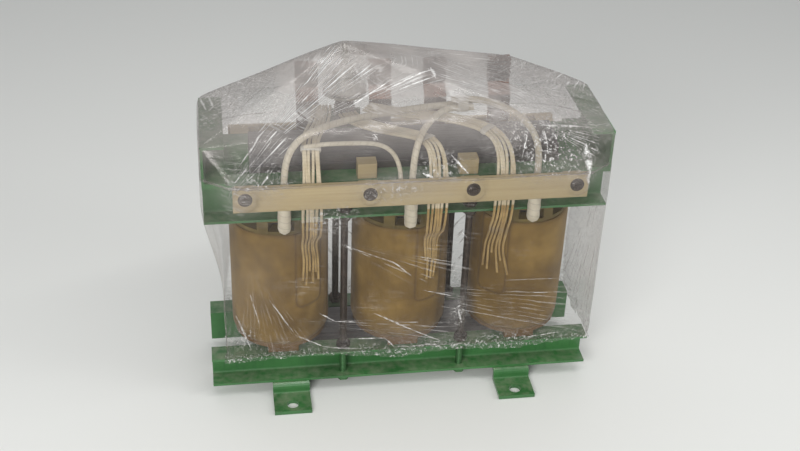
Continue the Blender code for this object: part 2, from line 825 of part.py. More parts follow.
def film_points():
    """The places that hold the film out, from the sizes of the pieces under it."""
    away = film_clearance
    points = []
    half = clamp_half_length + away
    for across in (-half, half):
        for along in (-clamp_edge, clamp_edge):
            points.append((across, along, lower_clamp_top + fit_gap))
            points.append((across, along + math.copysign(away, along), upper_clamp_top))
            points.append((across, along + math.copysign(away, along), end_member_top + away))
    for place in limb_places:
        for across, along in disc_outline((place, 0), coil_radius + film_round_clearance, 16):
            points += [(across, along, coil_base), (across, along, coil_top)]
    half = strip_half_length + away
    for across in (-half, half):
        for along, top in ((-strip_front - away, strip_top), (strip_front + away, upper_clamp_top)):
            points.append((across, along, top - strip_height - away))
            points.append((across, along, top + away))
    outline = bar_outline()
    far = max(point[0] for point in outline) + away
    high = max(point[1] for point in outline) + away
    places = sorted(bar_places().values())
    for across in (places[0] - bar_width / 2 - away, places[-1] + bar_width / 2 + away):
        for along in (far, far - flag_step):
            points.append((across, along, high))
        points.append((across, far, flag_base))
    discs = (
        (tap_flange_diameter, tap_flange_base), (tap_flange_diameter, tap_flange_top + away),
        (tap_bell_diameter, tap_flange_top + tap_bell_height / 2), (tap_bell_top_diameter, tap_bell_top + away),
        (tap_stem_diameter, tap_bell_top + tap_stem_height + away))
    for diameter, height in discs:
        for across, along in disc_outline(tap_changer_place, diameter / 2 + film_round_clearance, 16):
            points.append((across, along, height))
    for across in (-bracket_width / 2 - away, bracket_width / 2 + away):
        for height in (upper_clamp_top, upper_clamp_top + bracket_thickness + bracket_lip + away):
            points.append((tap_changer_place[0] + across, bracket_reach + away, height))
    held = lead_radius + tape_thickness + film_round_clearance
    for route in lead_routes().values():
        for place in smooth_route(route, 3):
            if place.z < strip_top:
                continue
            for across, up in disc_outline((0, 0), held, 8):
                points.append((place.x + across, place.y, place.z + up))
                points.append((place.x, place.y + across, place.z + up))
    return points


def build_film(film):
    """Stretch film drawn tight over the frame, open underneath and gathered on the lower clamps."""
    shape = bmesh.new()
    for point in film_points():
        shape.verts.new(point)
    hull = bmesh.ops.convex_hull(shape, input=shape.verts)
    spare = [part for part in hull["geom_interior"] if isinstance(part, bmesh.types.BMVert)]
    spare += [part for part in hull["geom_unused"] if isinstance(part, bmesh.types.BMVert)]
    bmesh.ops.delete(shape, geom=list(set(spare)), context="VERTS")
    bmesh.ops.recalc_face_normals(shape, faces=shape.faces)
    hem = lower_clamp_top + film_clearance
    base = [face for face in shape.faces if max(corner.co.z for corner in face.verts) < hem]
    bmesh.ops.delete(shape, geom=base, context="FACES_ONLY")
    mesh = bpy.data.meshes.new("film_wrap")
    shape.to_mesh(mesh)
    shape.free()
    item = add_object("film_wrap", mesh, film)
    skin = item.modifiers.new("thickness", "SOLIDIFY")
    skin.thickness = film_thickness
    skin.offset = 1
    skin.use_even_offset = True


def build_assembly():
    clear_scene()
    steel = make_material("core_steel", (0.30, 0.29, 0.28), 0.45, 0.8)
    paper = make_material("kraft_paper", (0.42, 0.27, 0.12), 0.7)
    board = make_material("pressboard", (0.36, 0.26, 0.13), 0.75)
    green = make_material("green_paint", (0.07, 0.30, 0.12), 0.45)
    rod_steel = make_material("rod_steel", (0.25, 0.22, 0.20), 0.4, 0.9)
    wood = make_material("beech_wood", (0.66, 0.52, 0.33), 0.6)
    crepe = make_material("crepe_paper", (0.70, 0.64, 0.54), 0.8)
    cotton = make_material("cotton_tape", (0.80, 0.78, 0.72), 0.85)
    kraft = make_material("wire_paper", (0.52, 0.40, 0.20), 0.7)
    metal = make_material("cast_aluminium", (0.60, 0.60, 0.58), 0.3, 1.0)
    copper = make_material("copper", (0.45, 0.22, 0.15), 0.45, 0.9)
    film = make_material("clear_film", (0.90, 0.92, 0.92), 0.15)
    build_yokes(steel)
    build_limbs(steel)
    build_coils(paper)
    build_end_rings(board)
    build_clamps(green)
    build_end_members(green)
    build_feet(green)
    build_tie_rods(rod_steel)
    build_strips(wood)
    build_lead_blocks(wood)
    build_leads(crepe)
    build_tape(cotton)
    build_bundles(kraft)
    build_tap_changer(metal, green)
    build_bars(copper)
    build_film(film)


build_assembly()
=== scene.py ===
"""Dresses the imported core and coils: materials, wound leads, fastenings and the stretch film."""
import json
import math

import bpy
import numpy as np
from mathutils import Matrix, Vector
from mathutils.bvhtree import BVHTree


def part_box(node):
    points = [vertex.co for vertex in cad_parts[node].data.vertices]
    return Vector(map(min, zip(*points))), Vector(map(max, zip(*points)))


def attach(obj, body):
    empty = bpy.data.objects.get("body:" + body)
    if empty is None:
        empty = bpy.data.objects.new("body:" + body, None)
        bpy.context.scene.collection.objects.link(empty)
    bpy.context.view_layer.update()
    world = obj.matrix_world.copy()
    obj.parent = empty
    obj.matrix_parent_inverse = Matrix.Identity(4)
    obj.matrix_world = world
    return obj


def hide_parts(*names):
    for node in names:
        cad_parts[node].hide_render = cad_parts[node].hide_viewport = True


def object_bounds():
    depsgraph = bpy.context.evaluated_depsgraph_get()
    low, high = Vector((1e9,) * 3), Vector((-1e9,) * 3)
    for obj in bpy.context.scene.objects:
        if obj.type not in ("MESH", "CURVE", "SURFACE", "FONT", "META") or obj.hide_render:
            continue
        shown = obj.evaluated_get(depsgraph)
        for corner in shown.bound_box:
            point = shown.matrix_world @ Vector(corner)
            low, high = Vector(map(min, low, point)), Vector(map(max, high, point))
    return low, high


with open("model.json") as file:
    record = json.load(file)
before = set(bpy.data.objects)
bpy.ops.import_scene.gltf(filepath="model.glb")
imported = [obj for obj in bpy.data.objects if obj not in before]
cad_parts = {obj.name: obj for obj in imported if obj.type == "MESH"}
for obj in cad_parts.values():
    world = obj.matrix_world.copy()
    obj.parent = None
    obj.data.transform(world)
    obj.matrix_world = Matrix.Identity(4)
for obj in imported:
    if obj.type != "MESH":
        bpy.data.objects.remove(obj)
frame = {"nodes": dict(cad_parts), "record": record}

cad_box = [list(corner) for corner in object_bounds()]
nodes = frame["nodes"]
random = np.random.default_rng(7)


# Sizes read from the frame
def span(node, axis):
    low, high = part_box(node)
    index = "XYZ".index(axis)
    return low[index], high[index]


def middle(node, axis):
    return sum(span(node, axis)) / 2


def half(node, axis):
    low, high = span(node, axis)
    return (high - low) / 2


coil_low, coil_high = span("coil_centre", "Z")
coil_radius = half("coil_centre", "X")
limb_pitch = middle("coil_right", "X")
limb_places = {"left": -limb_pitch, "centre": 0, "right": limb_pitch}
strip_front, strip_back = span("lead_strip_front", "Y")
strip_base, strip_top = span("lead_strip_front", "Z")
clamp_low, clamp_top = span("upper_clamp_front", "Z")
clamp_half = span("upper_clamp_front", "X")[1]
clamp_edge = span("upper_clamp_rear", "Y")[1]
floor_clamp_top = span("lower_clamp_front", "Z")[1]
yoke_top = span("upper_yoke", "Z")[1]
fit_gap = 0.0003


def srgb(red, green, blue):
    """A colour as seen in the photograph, 0 to 255, in the renderer's linear values."""
    values = []
    for part in (red, green, blue):
        part /= 255
        values.append(part / 12.92 if part <= 0.04045 else ((part + 0.055) / 1.055) ** 2.4)
    return (*values, 1.0)


class Graph:
    """A material and short calls that wire up its nodes."""

    def __init__(self, name, **settings):
        self.material = bpy.data.materials.new(name)
        self.material.use_nodes = True
        self.tree = self.material.node_tree
        self.shader = self.tree.nodes["Principled BSDF"]
        for key, value in settings.items():
            self.put(key.replace("_", " ").title().replace("Ior", "IOR"), value)

    def put(self, socket, value):
        self.feed(self.shader.inputs[socket], value)

    def feed(self, socket, value):
        if isinstance(value, bpy.types.NodeSocket):
            self.tree.links.new(value, socket)
        else:
            socket.default_value = value

    def add(self, kind, inputs=(), **settings):
        node = self.tree.nodes.new("ShaderNode" + kind)
        for key, value in settings.items():
            setattr(node, key, value)
        for key, value in dict(inputs).items():
            self.feed(node.inputs[key], value)
        return node

    def scaled(self, vector, scale):
        return self.add("Mapping", {"Vector": vector, "Scale": scale}).outputs["Vector"]

    def place(self, scale=(1, 1, 1)):
        return self.scaled(self.add("TexCoord").outputs["Object"], scale)

    def attribute(self, name, kind="Fac"):
        return self.add("Attribute", attribute_name=name).outputs[kind]

    def parts(self, vector):
        return self.add("SeparateXYZ", {"Vector": vector}).outputs

    def noise(self, vector, scale, detail=4.0, rough=0.55, twist=0.0):
        inputs = {
            "Vector": vector, "Scale": scale, "Detail": detail, "Roughness": rough, "Distortion": twist}
        return self.add("TexNoise", inputs).outputs["Fac"]

    def rings(self, vector, scale, twist=0.0):
        inputs = {"Vector": vector, "Scale": scale, "Distortion": twist, "Detail": 2.0}
        return self.add("TexWave", inputs, bands_direction="Z").outputs["Fac"]

    def ramp(self, value, *stops):
        """Colours (red, green, blue) as srgb takes them, each with its place on the ramp."""
        node = self.add("ValToRGB", {"Fac": value})
        ramp = node.color_ramp
        while len(ramp.elements) < len(stops):
            ramp.elements.new(0.5)
        for element, (where, colour) in zip(ramp.elements, stops):
            element.position = where
            element.color = srgb(*colour)
        return node.outputs["Color"]

    def mix(self, amount, first, second, blend="MIX"):
        node = self.add("Mix", data_type="RGBA", blend_type=blend)
        for index, value in ((0, amount), (6, first), (7, second)):
            self.feed(node.inputs[index], value)
        return node.outputs[2]

    def maths(self, operation, first, second=0.0, third=0.0):
        node = self.add("Math", operation=operation)
        for index, value in enumerate((first, second, third)):
            self.feed(node.inputs[index], value)
        return node.outputs[0]

    def times(self, first, second):
        return self.maths("MULTIPLY", first, second)

    def plus(self, first, second):
        return self.maths("ADD", first, second)

    def spread(self, value, low, high, start=0.0, end=1.0):
        inputs = {"Value": value, "From Min": low, "From Max": high, "To Min": start, "To Max": end}
        return self.add("MapRange", inputs).outputs["Result"]

    def least(self, first, second):
        return self.maths("MINIMUM", first, second)

    def from_middle(self, value):
        """How far a value from 0 to 1 lies from the middle."""
        return self.maths("ABSOLUTE", self.maths("SUBTRACT", value, 0.5))

    def bump(self, height, strength, distance, under=None):
        inputs = {"Height": height, "Strength": strength, "Distance": distance}
        if under is not None:
            inputs["Normal"] = under
        result = self.add("Bump", inputs).outputs["Normal"]
        self.put("Normal", result)
        return result

    def finish(self, colour, rough, relief=None, strength=1.0, depth=0.001):
        self.put("Base Color", colour)
        self.put("Roughness", rough)
        if relief is not None:
            self.bump(relief, strength, depth)
        return self.material


def green_paint():
    """Sprayed gloss paint with orange peel, dust on what faces up and a few chips."""
    graph = Graph("green_paint", coat_weight=0.35, coat_roughness=0.12, specular_ior_level=0.5)
    place = graph.place()
    cloud = graph.noise(place, 9, 5)
    paint = graph.ramp(cloud, (0.3, (44, 90, 46)), (0.7, (64, 118, 64)))
    runs = graph.noise(graph.place((30, 30, 6)), 5, 3)
    paint = graph.mix(graph.spread(runs, 0.55, 0.75, 0, 0.35), paint, srgb(34, 76, 44))
    upward = graph.parts(graph.add("NewGeometry").outputs["Normal"])["Z"]
    dust = graph.times(graph.spread(upward, 0.5, 1), graph.spread(graph.noise(place, 60, 6), 0.35, 0.8))
    paint = graph.mix(graph.times(dust, 0.55), paint, srgb(150, 150, 130))
    chips = graph.spread(graph.noise(place, 150, 4, 0.7), 0.735, 0.75)
    paint = graph.mix(chips, paint, srgb(70, 62, 52))
    rough = graph.spread(graph.noise(place, 40, 3), 0.3, 0.7, 0.28, 0.5)
    peel = graph.plus(graph.noise(place, 420, 2), graph.times(chips, -1.5))
    return graph.finish(paint, rough, peel, 0.25, 0.0006)


def core_steel():
    """Edges of thin steel sheets stacked along Y, with oxide and oil marks."""
    graph = Graph("core_steel", metallic=0.75)
    sheets = graph.noise(graph.place((3, 900, 3)), 1, 3, 0.6)
    packets = graph.noise(graph.place((0.5, 110, 0.5)), 1, 2, 0.5)
    steel = graph.ramp(sheets, (0.3, (62, 60, 60)), (0.5, (112, 110, 110)), (0.72, (150, 148, 148)))
    steel = graph.mix(graph.spread(packets, 0.35, 0.65, 0, 0.5), steel, srgb(84, 86, 92))
    stains = graph.spread(graph.noise(graph.place(), 14, 6), 0.5, 0.72)
    steel = graph.mix(graph.times(stains, 0.6), steel, srgb(92, 76, 60))
    rough = graph.spread(sheets, 0.2, 0.8, 0.32, 0.6)
    return graph.finish(steel, rough, graph.plus(sheets, graph.times(packets, 0.6)), 0.5, 0.0008)


def pressboard():
    """Dense layered board, oiled brown, with cut layers on the edges."""
    graph = Graph("pressboard", specular_ior_level=0.3)
    layers = graph.noise(graph.place((4, 4, 600)), 1, 2)
    place = graph.place()
    board = graph.ramp(graph.noise(place, 22, 6), (0.3, (80, 68, 34)), (0.7, (118, 102, 56)))
    board = graph.mix(graph.spread(layers, 0.45, 0.7, 0, 0.5), board, srgb(78, 60, 34))
    low_down = graph.spread(graph.parts(place)["Z"], coil_low, coil_high, 0.8, 0)
    board = graph.mix(low_down, board, srgb(116, 84, 48))
    rough = graph.spread(graph.noise(place, 120, 3), 0.3, 0.7, 0.6, 0.85)
    return graph.finish(board, rough, graph.plus(layers, graph.noise(place, 500, 2)), 0.3, 0.0006)


def kraft_paper():
    """Brown insulating paper with fibres along the wrap, faint creases, oil marks and painted shade at seams
    and ends.
    """
    graph = Graph("kraft_paper", specular_ior_level=0.35, sheen_weight=0.1)
    place = graph.place()
    fibres = graph.noise(graph.place((1, 1, 0.15)), 260, 3, 0.6)
    cloud = graph.noise(place, 11, 6, 0.6)
    paper = graph.ramp(cloud, (0.3, (92, 69, 28)), (0.5, (122, 95, 42)), (0.72, (154, 124, 64)))
    paper = graph.mix(graph.spread(fibres, 0.4, 0.8, 0, 0.25), paper, srgb(104, 76, 38))
    marks = graph.spread(graph.noise(place, 26, 5, 0.7), 0.66, 0.75)
    paper = graph.mix(graph.times(marks, 0.45), paper, srgb(104, 74, 40))
    # Painted shade: darker along the seam, round the flap, at the coil ends and in the ducts
    paper = graph.mix(graph.times(graph.attribute("shade"), 0.75), paper, srgb(66, 44, 22))
    rough = graph.spread(cloud, 0.3, 0.8, 0.62, 0.8)
    soft = graph.noise(graph.place((1, 1, 0.35)), 60, 4, 0.6)
    return graph.finish(paper, rough, graph.plus(soft, graph.times(fibres, 0.1)), 0.35, 0.0015)


def beech_wood():
    """Planed pale hardwood: grain along X, short flecks and a few darker years."""
    graph = Graph("beech_wood", specular_ior_level=0.35)
    years = graph.noise(graph.place((1.2, 70, 45)), 1, 3, 0.6)
    grain = graph.noise(graph.place((6, 260, 260)), 1, 4, 0.6)
    cells = graph.add("TexVoronoi", {"Vector": graph.place((90, 700, 700)), "Scale": 1})
    wood = graph.ramp(years, (0.2, (164, 147, 112)), (0.8, (182, 165, 128)))
    wood = graph.mix(graph.spread(grain, 0.4, 0.8, 0, 0.4), wood, srgb(146, 124, 88))
    wood = graph.mix(graph.spread(cells.outputs["Distance"], 0.12, 0, 0, 0.35), wood, srgb(140, 110, 70))
    return graph.finish(wood, graph.spread(grain, 0.3, 0.8, 0.5, 0.7), grain, 0.3, 0.0006)


def dark_steel(name, thread=False):
    """Oiled dark steel for rods, nuts, washers and bolt heads; a rod's lower end is painted over."""
    graph = Graph(name, metallic=0.85)
    place = graph.place()
    cloud = graph.noise(place, 60, 5)
    steel = graph.ramp(cloud, (0.3, (46, 38, 34)), (0.7, (82, 72, 64)))
    rust = graph.spread(graph.noise(place, 130, 5, 0.7), 0.58, 0.75)
    steel = graph.mix(graph.times(rust, 0.5), steel, srgb(98, 62, 40))
    if thread:
        height = graph.parts(place)["Z"]
        painted = graph.spread(height, floor_clamp_top + 0.002, floor_clamp_top - 0.004, 0, 0.9)
        steel = graph.mix(painted, steel, srgb(84, 128, 84))
        relief = (graph.rings(place, 600 / math.tau), 0.7, 0.0008)
    else:
        relief = (graph.noise(place, 700, 2), 0.2, 0.0004)
    return graph.finish(steel, graph.spread(cloud, 0.3, 0.7, 0.34, 0.58), *relief)


def wound(name, pale, dark, turns, weave=0.4, stain=None):
    """Paper or cotton wound in a spiral. U runs once round and V along the lead, in centimetres."""
    graph = Graph(name, specular_ior_level=0.3, sheen_weight=0.15, sheen_roughness=0.5)
    across = graph.add("TexCoord").outputs["UV"]
    parts = graph.parts(across)
    spiral = graph.maths("FRACT", graph.maths("MULTIPLY_ADD", parts["Y"], turns, parts["X"]))
    edge = graph.spread(spiral, 0, 0.16)
    cloud = graph.noise(graph.place(), 34, 5)
    colour = graph.ramp(cloud, (0.3, dark), (0.7, pale))
    shadow = (*(part * 0.45 for part in srgb(*dark)[:3]), 1.0)
    colour = graph.mix(graph.spread(edge, 0, 1, 0.45, 0), colour, shadow)
    if stain:
        marks = graph.spread(graph.noise(graph.place(), 55, 4), 0.6, 0.8)
        colour = graph.mix(graph.times(marks, 0.5), colour, srgb(*stain))
    rough = graph.spread(cloud, 0.3, 0.8, 0.62, 0.86)
    crepe = graph.noise(graph.scaled(across, (3, 14, 1)), 4, 3)
    height = graph.plus(graph.times(spiral, 0.8), graph.times(crepe, weave))
    return graph.finish(colour, rough, height, 0.6, 0.0009)


def aluminium():
    """Machined aluminium with faint turning marks."""
    graph = Graph("aluminium", metallic=1.0)
    place = graph.place()
    rings = graph.rings(place, 260, 1.0)
    cloud = graph.noise(place, 45, 4)
    metal = graph.mix(graph.spread(cloud, 0.4, 0.75, 0, 0.4), srgb(216, 214, 208), srgb(120, 118, 112))
    return graph.finish(metal, graph.spread(cloud, 0.3, 0.7, 0.2, 0.42), rings, 0.2, 0.0003)


def copper():
    """Bare copper leaves, browned by handling, with bright scratches."""
    graph = Graph("copper", metallic=0.95)
    place = graph.place()
    cloud = graph.noise(place, 38, 5)
    colour = graph.ramp(cloud, (0.3, (92, 64, 54)), (0.6, (124, 90, 76)), (0.8, (152, 114, 96)))
    scratches = graph.noise(graph.place((700, 14, 14)), 1, 2)
    colour = graph.mix(graph.spread(scratches, 0.6, 0.75, 0, 0.5), colour, srgb(190, 140, 114))
    return graph.finish(colour, graph.spread(cloud, 0.3, 0.8, 0.28, 0.5), scratches, 0.15, 0.0003)


def dark_resin():
    """Moulded dark brown insulation, slightly glossy."""
    graph = Graph("dark_resin", specular_ior_level=0.5)
    place = graph.place()
    cloud = graph.noise(place, 50, 4)
    colour = graph.ramp(cloud, (0.3, (34, 24, 20)), (0.7, (58, 42, 34)))
    rough = graph.spread(cloud, 0.3, 0.7, 0.24, 0.42)
    return graph.finish(colour, rough, graph.noise(place, 500, 2), 0.15, 0.0003)


def clear_film():
    """Thin clear film: whiter along its creases with painted highlights there, milky over the hood, and
    whiter with painted glints where it is crushed.
    """
    graph = Graph("clear_film")
    place = graph.place()
    crush = graph.attribute("crush")

    # Fans of thin lines: X counts the lines, Y runs along them and Z is their strength
    fan = graph.attribute("fan", "Vector")
    fan_parts = graph.parts(fan)
    sway = graph.noise(graph.scaled(fan, (0.8, 6, 0)), 1, 2)
    count = graph.maths("MULTIPLY_ADD", sway, 1.6, fan_parts["X"])
    swing = graph.from_middle(graph.maths("FRACT", count))
    kind = graph.add("CombineXYZ", {"X": graph.maths("FLOOR", count), "Y": fan_parts["Y"]}).outputs["Vector"]
    width = graph.spread(graph.noise(graph.scaled(kind, (7.3, 9, 0)), 1, 1), 0.3, 0.7, 0.05, 0.2)
    broken = graph.noise(graph.scaled(kind, (3.7, 24, 0)), 1, 1)
    line = graph.maths("SUBTRACT", 1, graph.maths("DIVIDE", swing, width))
    line = graph.least(graph.maths("MAXIMUM", line, 0), 1)
    line = graph.times(graph.maths("POWER", line, 0.6), graph.spread(broken, 0.38, 0.56))
    line = graph.times(line, fan_parts["Z"])

    # Single strokes: X runs along them, Y is the distance from their middle and Z their strength
    stroke = graph.attribute("stroke", "Vector")
    stroke_parts = graph.parts(stroke)
    ragged = graph.noise(graph.scaled(stroke, (260, 1.2, 0)), 1, 3, 0.6)
    aside = graph.plus(stroke_parts["Y"], graph.spread(ragged, 0.2, 0.8, -0.45, 0.45))
    aside = graph.maths("ABSOLUTE", aside)
    fold = graph.times(graph.spread(aside, 0.2, 1, 1, 0), graph.spread(ragged, 0.3, 0.5, 0.45))
    worn = graph.noise(graph.scaled(stroke, (70, 0.3, 0)), 1, 2)
    fold = graph.times(fold, graph.spread(worn, 0.36, 0.56, 0.15))
    fold = graph.times(fold, stroke_parts["Z"])

    # Faint lines drawn along the sheet, and small cracks where it is crumpled, both white and partly painted
    # highlights and glints
    flow = graph.attribute("flow", "Vector")
    sweep = graph.noise(graph.scaled(flow, (7, 150, 0)), 1, 3, 0.55, 0.4)
    thin = graph.spread(graph.from_middle(sweep), 0, 0.035, 1, 0)
    thin = graph.times(thin, graph.spread(graph.noise(place, 9, 3), 0.54, 0.68))
    crinkle = graph.scaled(flow, (150, 150, 0))
    bend = graph.add("TexNoise", {"Vector": crinkle, "Scale": 0.6}).outputs["Color"]
    bent = graph.mix(0.35, crinkle, bend, "ADD")
    cell = graph.from_middle(graph.noise(bent, 0.7, 3, 0.6, 1.2))
    speck = graph.spread(graph.noise(place, 160, 2), 0.42, 0.62)
    crack_glint = graph.times(graph.times(graph.spread(cell, 0, 0.05, 1, 0), speck), crush)

    # White lines of creases, fans and crumples: partly the film lying doubled, partly painted highlights and
    # glints
    white_and_painted_highlight = graph.plus(graph.plus(graph.times(line, 0.75), graph.times(thin, 0.30)), crack_glint)
    white_and_painted_highlight = graph.least(graph.plus(white_and_painted_highlight, graph.times(fold, 0.9)), 1)
    normal = graph.bump(graph.noise(place, 24, 2), 0.22, 0.010)
    height = graph.plus(graph.times(line, 0.6), graph.times(sweep, 0.25))
    height = graph.plus(height, graph.times(cell, graph.times(crush, 5.0)))
    normal = graph.bump(height, 0.8, 0.0030, normal)

    # How much of the film covers what lies behind: its mirror shine, its milky veil and its white lines,
    # which are partly painted highlights
    shine = graph.least(graph.add("Fresnel", {"IOR": 1.5, "Normal": normal}).outputs["Fac"], 0.34)
    veil = graph.times(graph.attribute("veil"), graph.spread(graph.noise(place, 11, 4), 0.3, 0.7, 0.2, 0.4))
    cover = graph.plus(graph.maths("MULTIPLY_ADD", shine, 1.15, 0.005), veil)
    cover = graph.plus(cover, graph.times(white_and_painted_highlight, 0.85))
    graph.put("Alpha", graph.least(cover, 0.92))
    mirror = graph.maths("DIVIDE", graph.times(shine, 1.15), graph.maths("MAXIMUM", cover, 0.02))
    graph.put("Metallic", graph.times(graph.least(mirror, 1), graph.spread(white_and_painted_highlight, 0, 0.5, 0.6, 0)))
    colour = graph.mix(white_and_painted_highlight, srgb(184, 177, 172), srgb(250, 250, 248))
    return graph.finish(colour, graph.spread(white_and_painted_highlight, 0, 1, 0.18, 0.3))


def mesh_item(name, points, faces, material, uvs=None):
    mesh = bpy.data.meshes.new(name)
    mesh.from_pydata([tuple(point) for point in points], [], faces)
    if uvs is not None:
        layer = mesh.uv_layers.new(name="UVMap")
        flat = np.asarray([uvs[corner] for face in faces for corner in face], dtype=np.float32)
        layer.data.foreach_set("uv", flat.ravel())
    mesh.validate()
    item = bpy.data.objects.new(name, mesh)
    bpy.context.scene.collection.objects.link(item)
    mesh.materials.append(material)
    mesh.shade_smooth()
    mesh.set_sharp_from_angle(angle=math.radians(40))
    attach(item, "root")
    return item


def give_attribute(item, name, data):
    """Hands the shader a value or a vector for each point."""
    kind, field = ("FLOAT_VECTOR", "vector") if data.shape[-1] == 3 else ("FLOAT", "value")
    layer = item.data.attributes.new(name, kind, "POINT")
    layer.data.foreach_set(field, data.astype(np.float32).ravel())


def join_parts(name, parts, material):
    """One piece from several (points, faces) parts."""
    points = []
    faces = []
    for corners, polygons in parts:
        start = len(points)
        points.extend(corners)
        faces.extend([[index + start for index in polygon] for polygon in polygons])
    return mesh_item(name, points, faces, material)


def metres(places):
    """Places given in millimetres."""
    return np.array(places) / 1000


def unit(vectors):
    return vectors / np.maximum(np.linalg.norm(vectors, axis=-1, keepdims=True), 1e-9)


def ring_place(centre, radius, angle, level, axis):
    """A place at an angle on a ring round an axis, the level along it from the centre."""
    place = [radius * math.cos(angle), radius * math.sin(angle)]
    place.insert("XYZ".index(axis), level)
    return [a + b for a, b in zip(place, centre)]


def turned(profile, centre, steps=48, axis="Z"):
    """Points and faces of a profile, (radius, height) in millimetres, spun round an axis."""
    profile = metres(profile)
    points = []
    for step in range(steps):
        angle = math.tau * step / steps
        points += [ring_place(centre, radius, angle, height, axis) for radius, height in profile]
    count = len(profile)
    faces = []
    for step in range(steps):
        after = (step + 1) % steps
        for index in range(count - 1):
            near, far = step * count + index, after * count + index
            faces.append([near, far, far + 1, near + 1])
    faces.append([step * count for step in reversed(range(steps))])
    faces.append([step * count + count - 1 for step in range(steps)])
    return points, faces


def hexagon_bolt(centre, across, height, axis, facing=1):
    """A chamfered six-sided nut or head, its base on the centre."""
    corner = across / math.sqrt(3)
    points = []
    for radius, level in ((corner, 0), (corner, height * 0.78), (corner * 0.88, height)):
        for step in range(6):
            points.append(ring_place(centre, radius, math.tau * (step + 0.5) / 6, facing * level, axis))
    faces = ring_faces(6, 2)
    faces.append([5, 4, 3, 2, 1, 0])
    faces.append([12, 13, 14, 15, 16, 17])
    return points, faces


def join_rings(first, second, columns, flip=False):
    """Faces between two rings of points, given by their first indices."""
    faces = []
    for column in range(columns):
        after = (column + 1) % columns
        corners = [first + column, first + after, second + after, second + column]
        faces.append(corners[::-1] if flip else corners)
    return faces


def ring_faces(columns, rows):
    faces = []
    for row in range(rows):
        faces += join_rings(row * columns, (row + 1) * columns, columns)
    return faces


def smooth_route(points, steps):
    """An even curve drawn by the points, which never swings past them, read at equal steps."""
    places = [np.array(point, dtype=float) for point in points]
    padded = [2 * places[0] - places[1]] + places + [2 * places[-1] - places[-2]]
    route = []
    for index in range(1, len(padded) - 2):
        before, start, end, after = padded[index - 1:index + 3]
        for step in range(steps):
            share = step / steps
            route.append((
                before * (1 - share) ** 3
                + start * (3 * share ** 3 - 6 * share ** 2 + 4)
                + end * (-3 * share ** 3 + 3 * share ** 2 + 3 * share + 1)
                + after * share ** 3) / 6)
    route.append(places[-1])
    return np.array(route)


def tube(name, route, radii, material, sides):
    """A round lead along a route, with U once round and V its length in centimetres."""
    along = unit(np.gradient(route, axis=0))
    guide = np.array([1.0, 0.0, 0.0]) if abs(along[0][0]) < 0.8 else np.array([0.0, 1.0, 0.0])
    lengths = np.concatenate([[0], np.cumsum(np.linalg.norm(np.diff(route, axis=0), axis=1))]) * 100
    points = []
    uvs = []
    for place, way, radius, length in zip(route, along, radii, lengths):
        guide = guide - way * guide.dot(way)
        guide /= np.linalg.norm(guide)
        other = np.cross(way, guide)
        for step in range(sides + 1):
            angle = math.tau * step / sides
            points.append(place + radius * (guide * math.cos(angle) + other * math.sin(angle)))
            uvs.append((step / sides, length))
    faces = []
    row = sides + 1
    for ring in range(len(route) - 1):
        for step in range(sides):
            low = ring * row + step
            faces.append([low, low + 1, low + row + 1, low + row])
    faces.append(list(reversed(range(sides))))
    faces.append([(len(route) - 1) * row + step for step in range(sides)])
    return mesh_item(name, points, faces, material, uvs)


# Materials of the carried-over nodes
finishes = {
    "green_paint": green_paint(),
    "core_steel": core_steel(),
    "pressboard": pressboard(),
    "kraft_paper": kraft_paper(),
    "beech_wood": beech_wood(),
    "rod_steel": dark_steel("rod_steel", thread=True),
    "copper": copper(),
    "crepe_paper": wound("crepe_paper", (214, 205, 186), (182, 171, 148), 0.75, 0.5, (170, 150, 118)),
    "cotton_tape": wound("cotton_tape", (236, 232, 222), (214, 206, 190), 0.4),
    "wire_paper": wound("wire_paper", (190, 160, 104), (146, 118, 70), 1.6, 0.25),
}
wire_sleeve = wound("wire_sleeve", (214, 202, 176), (186, 170, 138), 1.6, 0.25)
bolt_steel = dark_steel("bolt_steel")
slot_of = {entry["node"]: entry["material_slot"] for entry in frame["record"]["subparts"]}
for name, node in nodes.items():
    finish = finishes.get(slot_of[name])
    if finish is None:
        continue
    if not node.material_slots:
        node.data.materials.append(finish)
    for slot in node.material_slots:
        slot.material = finish
    if slot_of[name] in ("green_paint", "beech_wood", "pressboard", "copper"):
        edges = node.modifiers.new("edges", "BEVEL")
        edges.width = 0.0007
        edges.segments = 2
        edges.limit_method = "ANGLE"
        edges.angle_limit = math.radians(50)


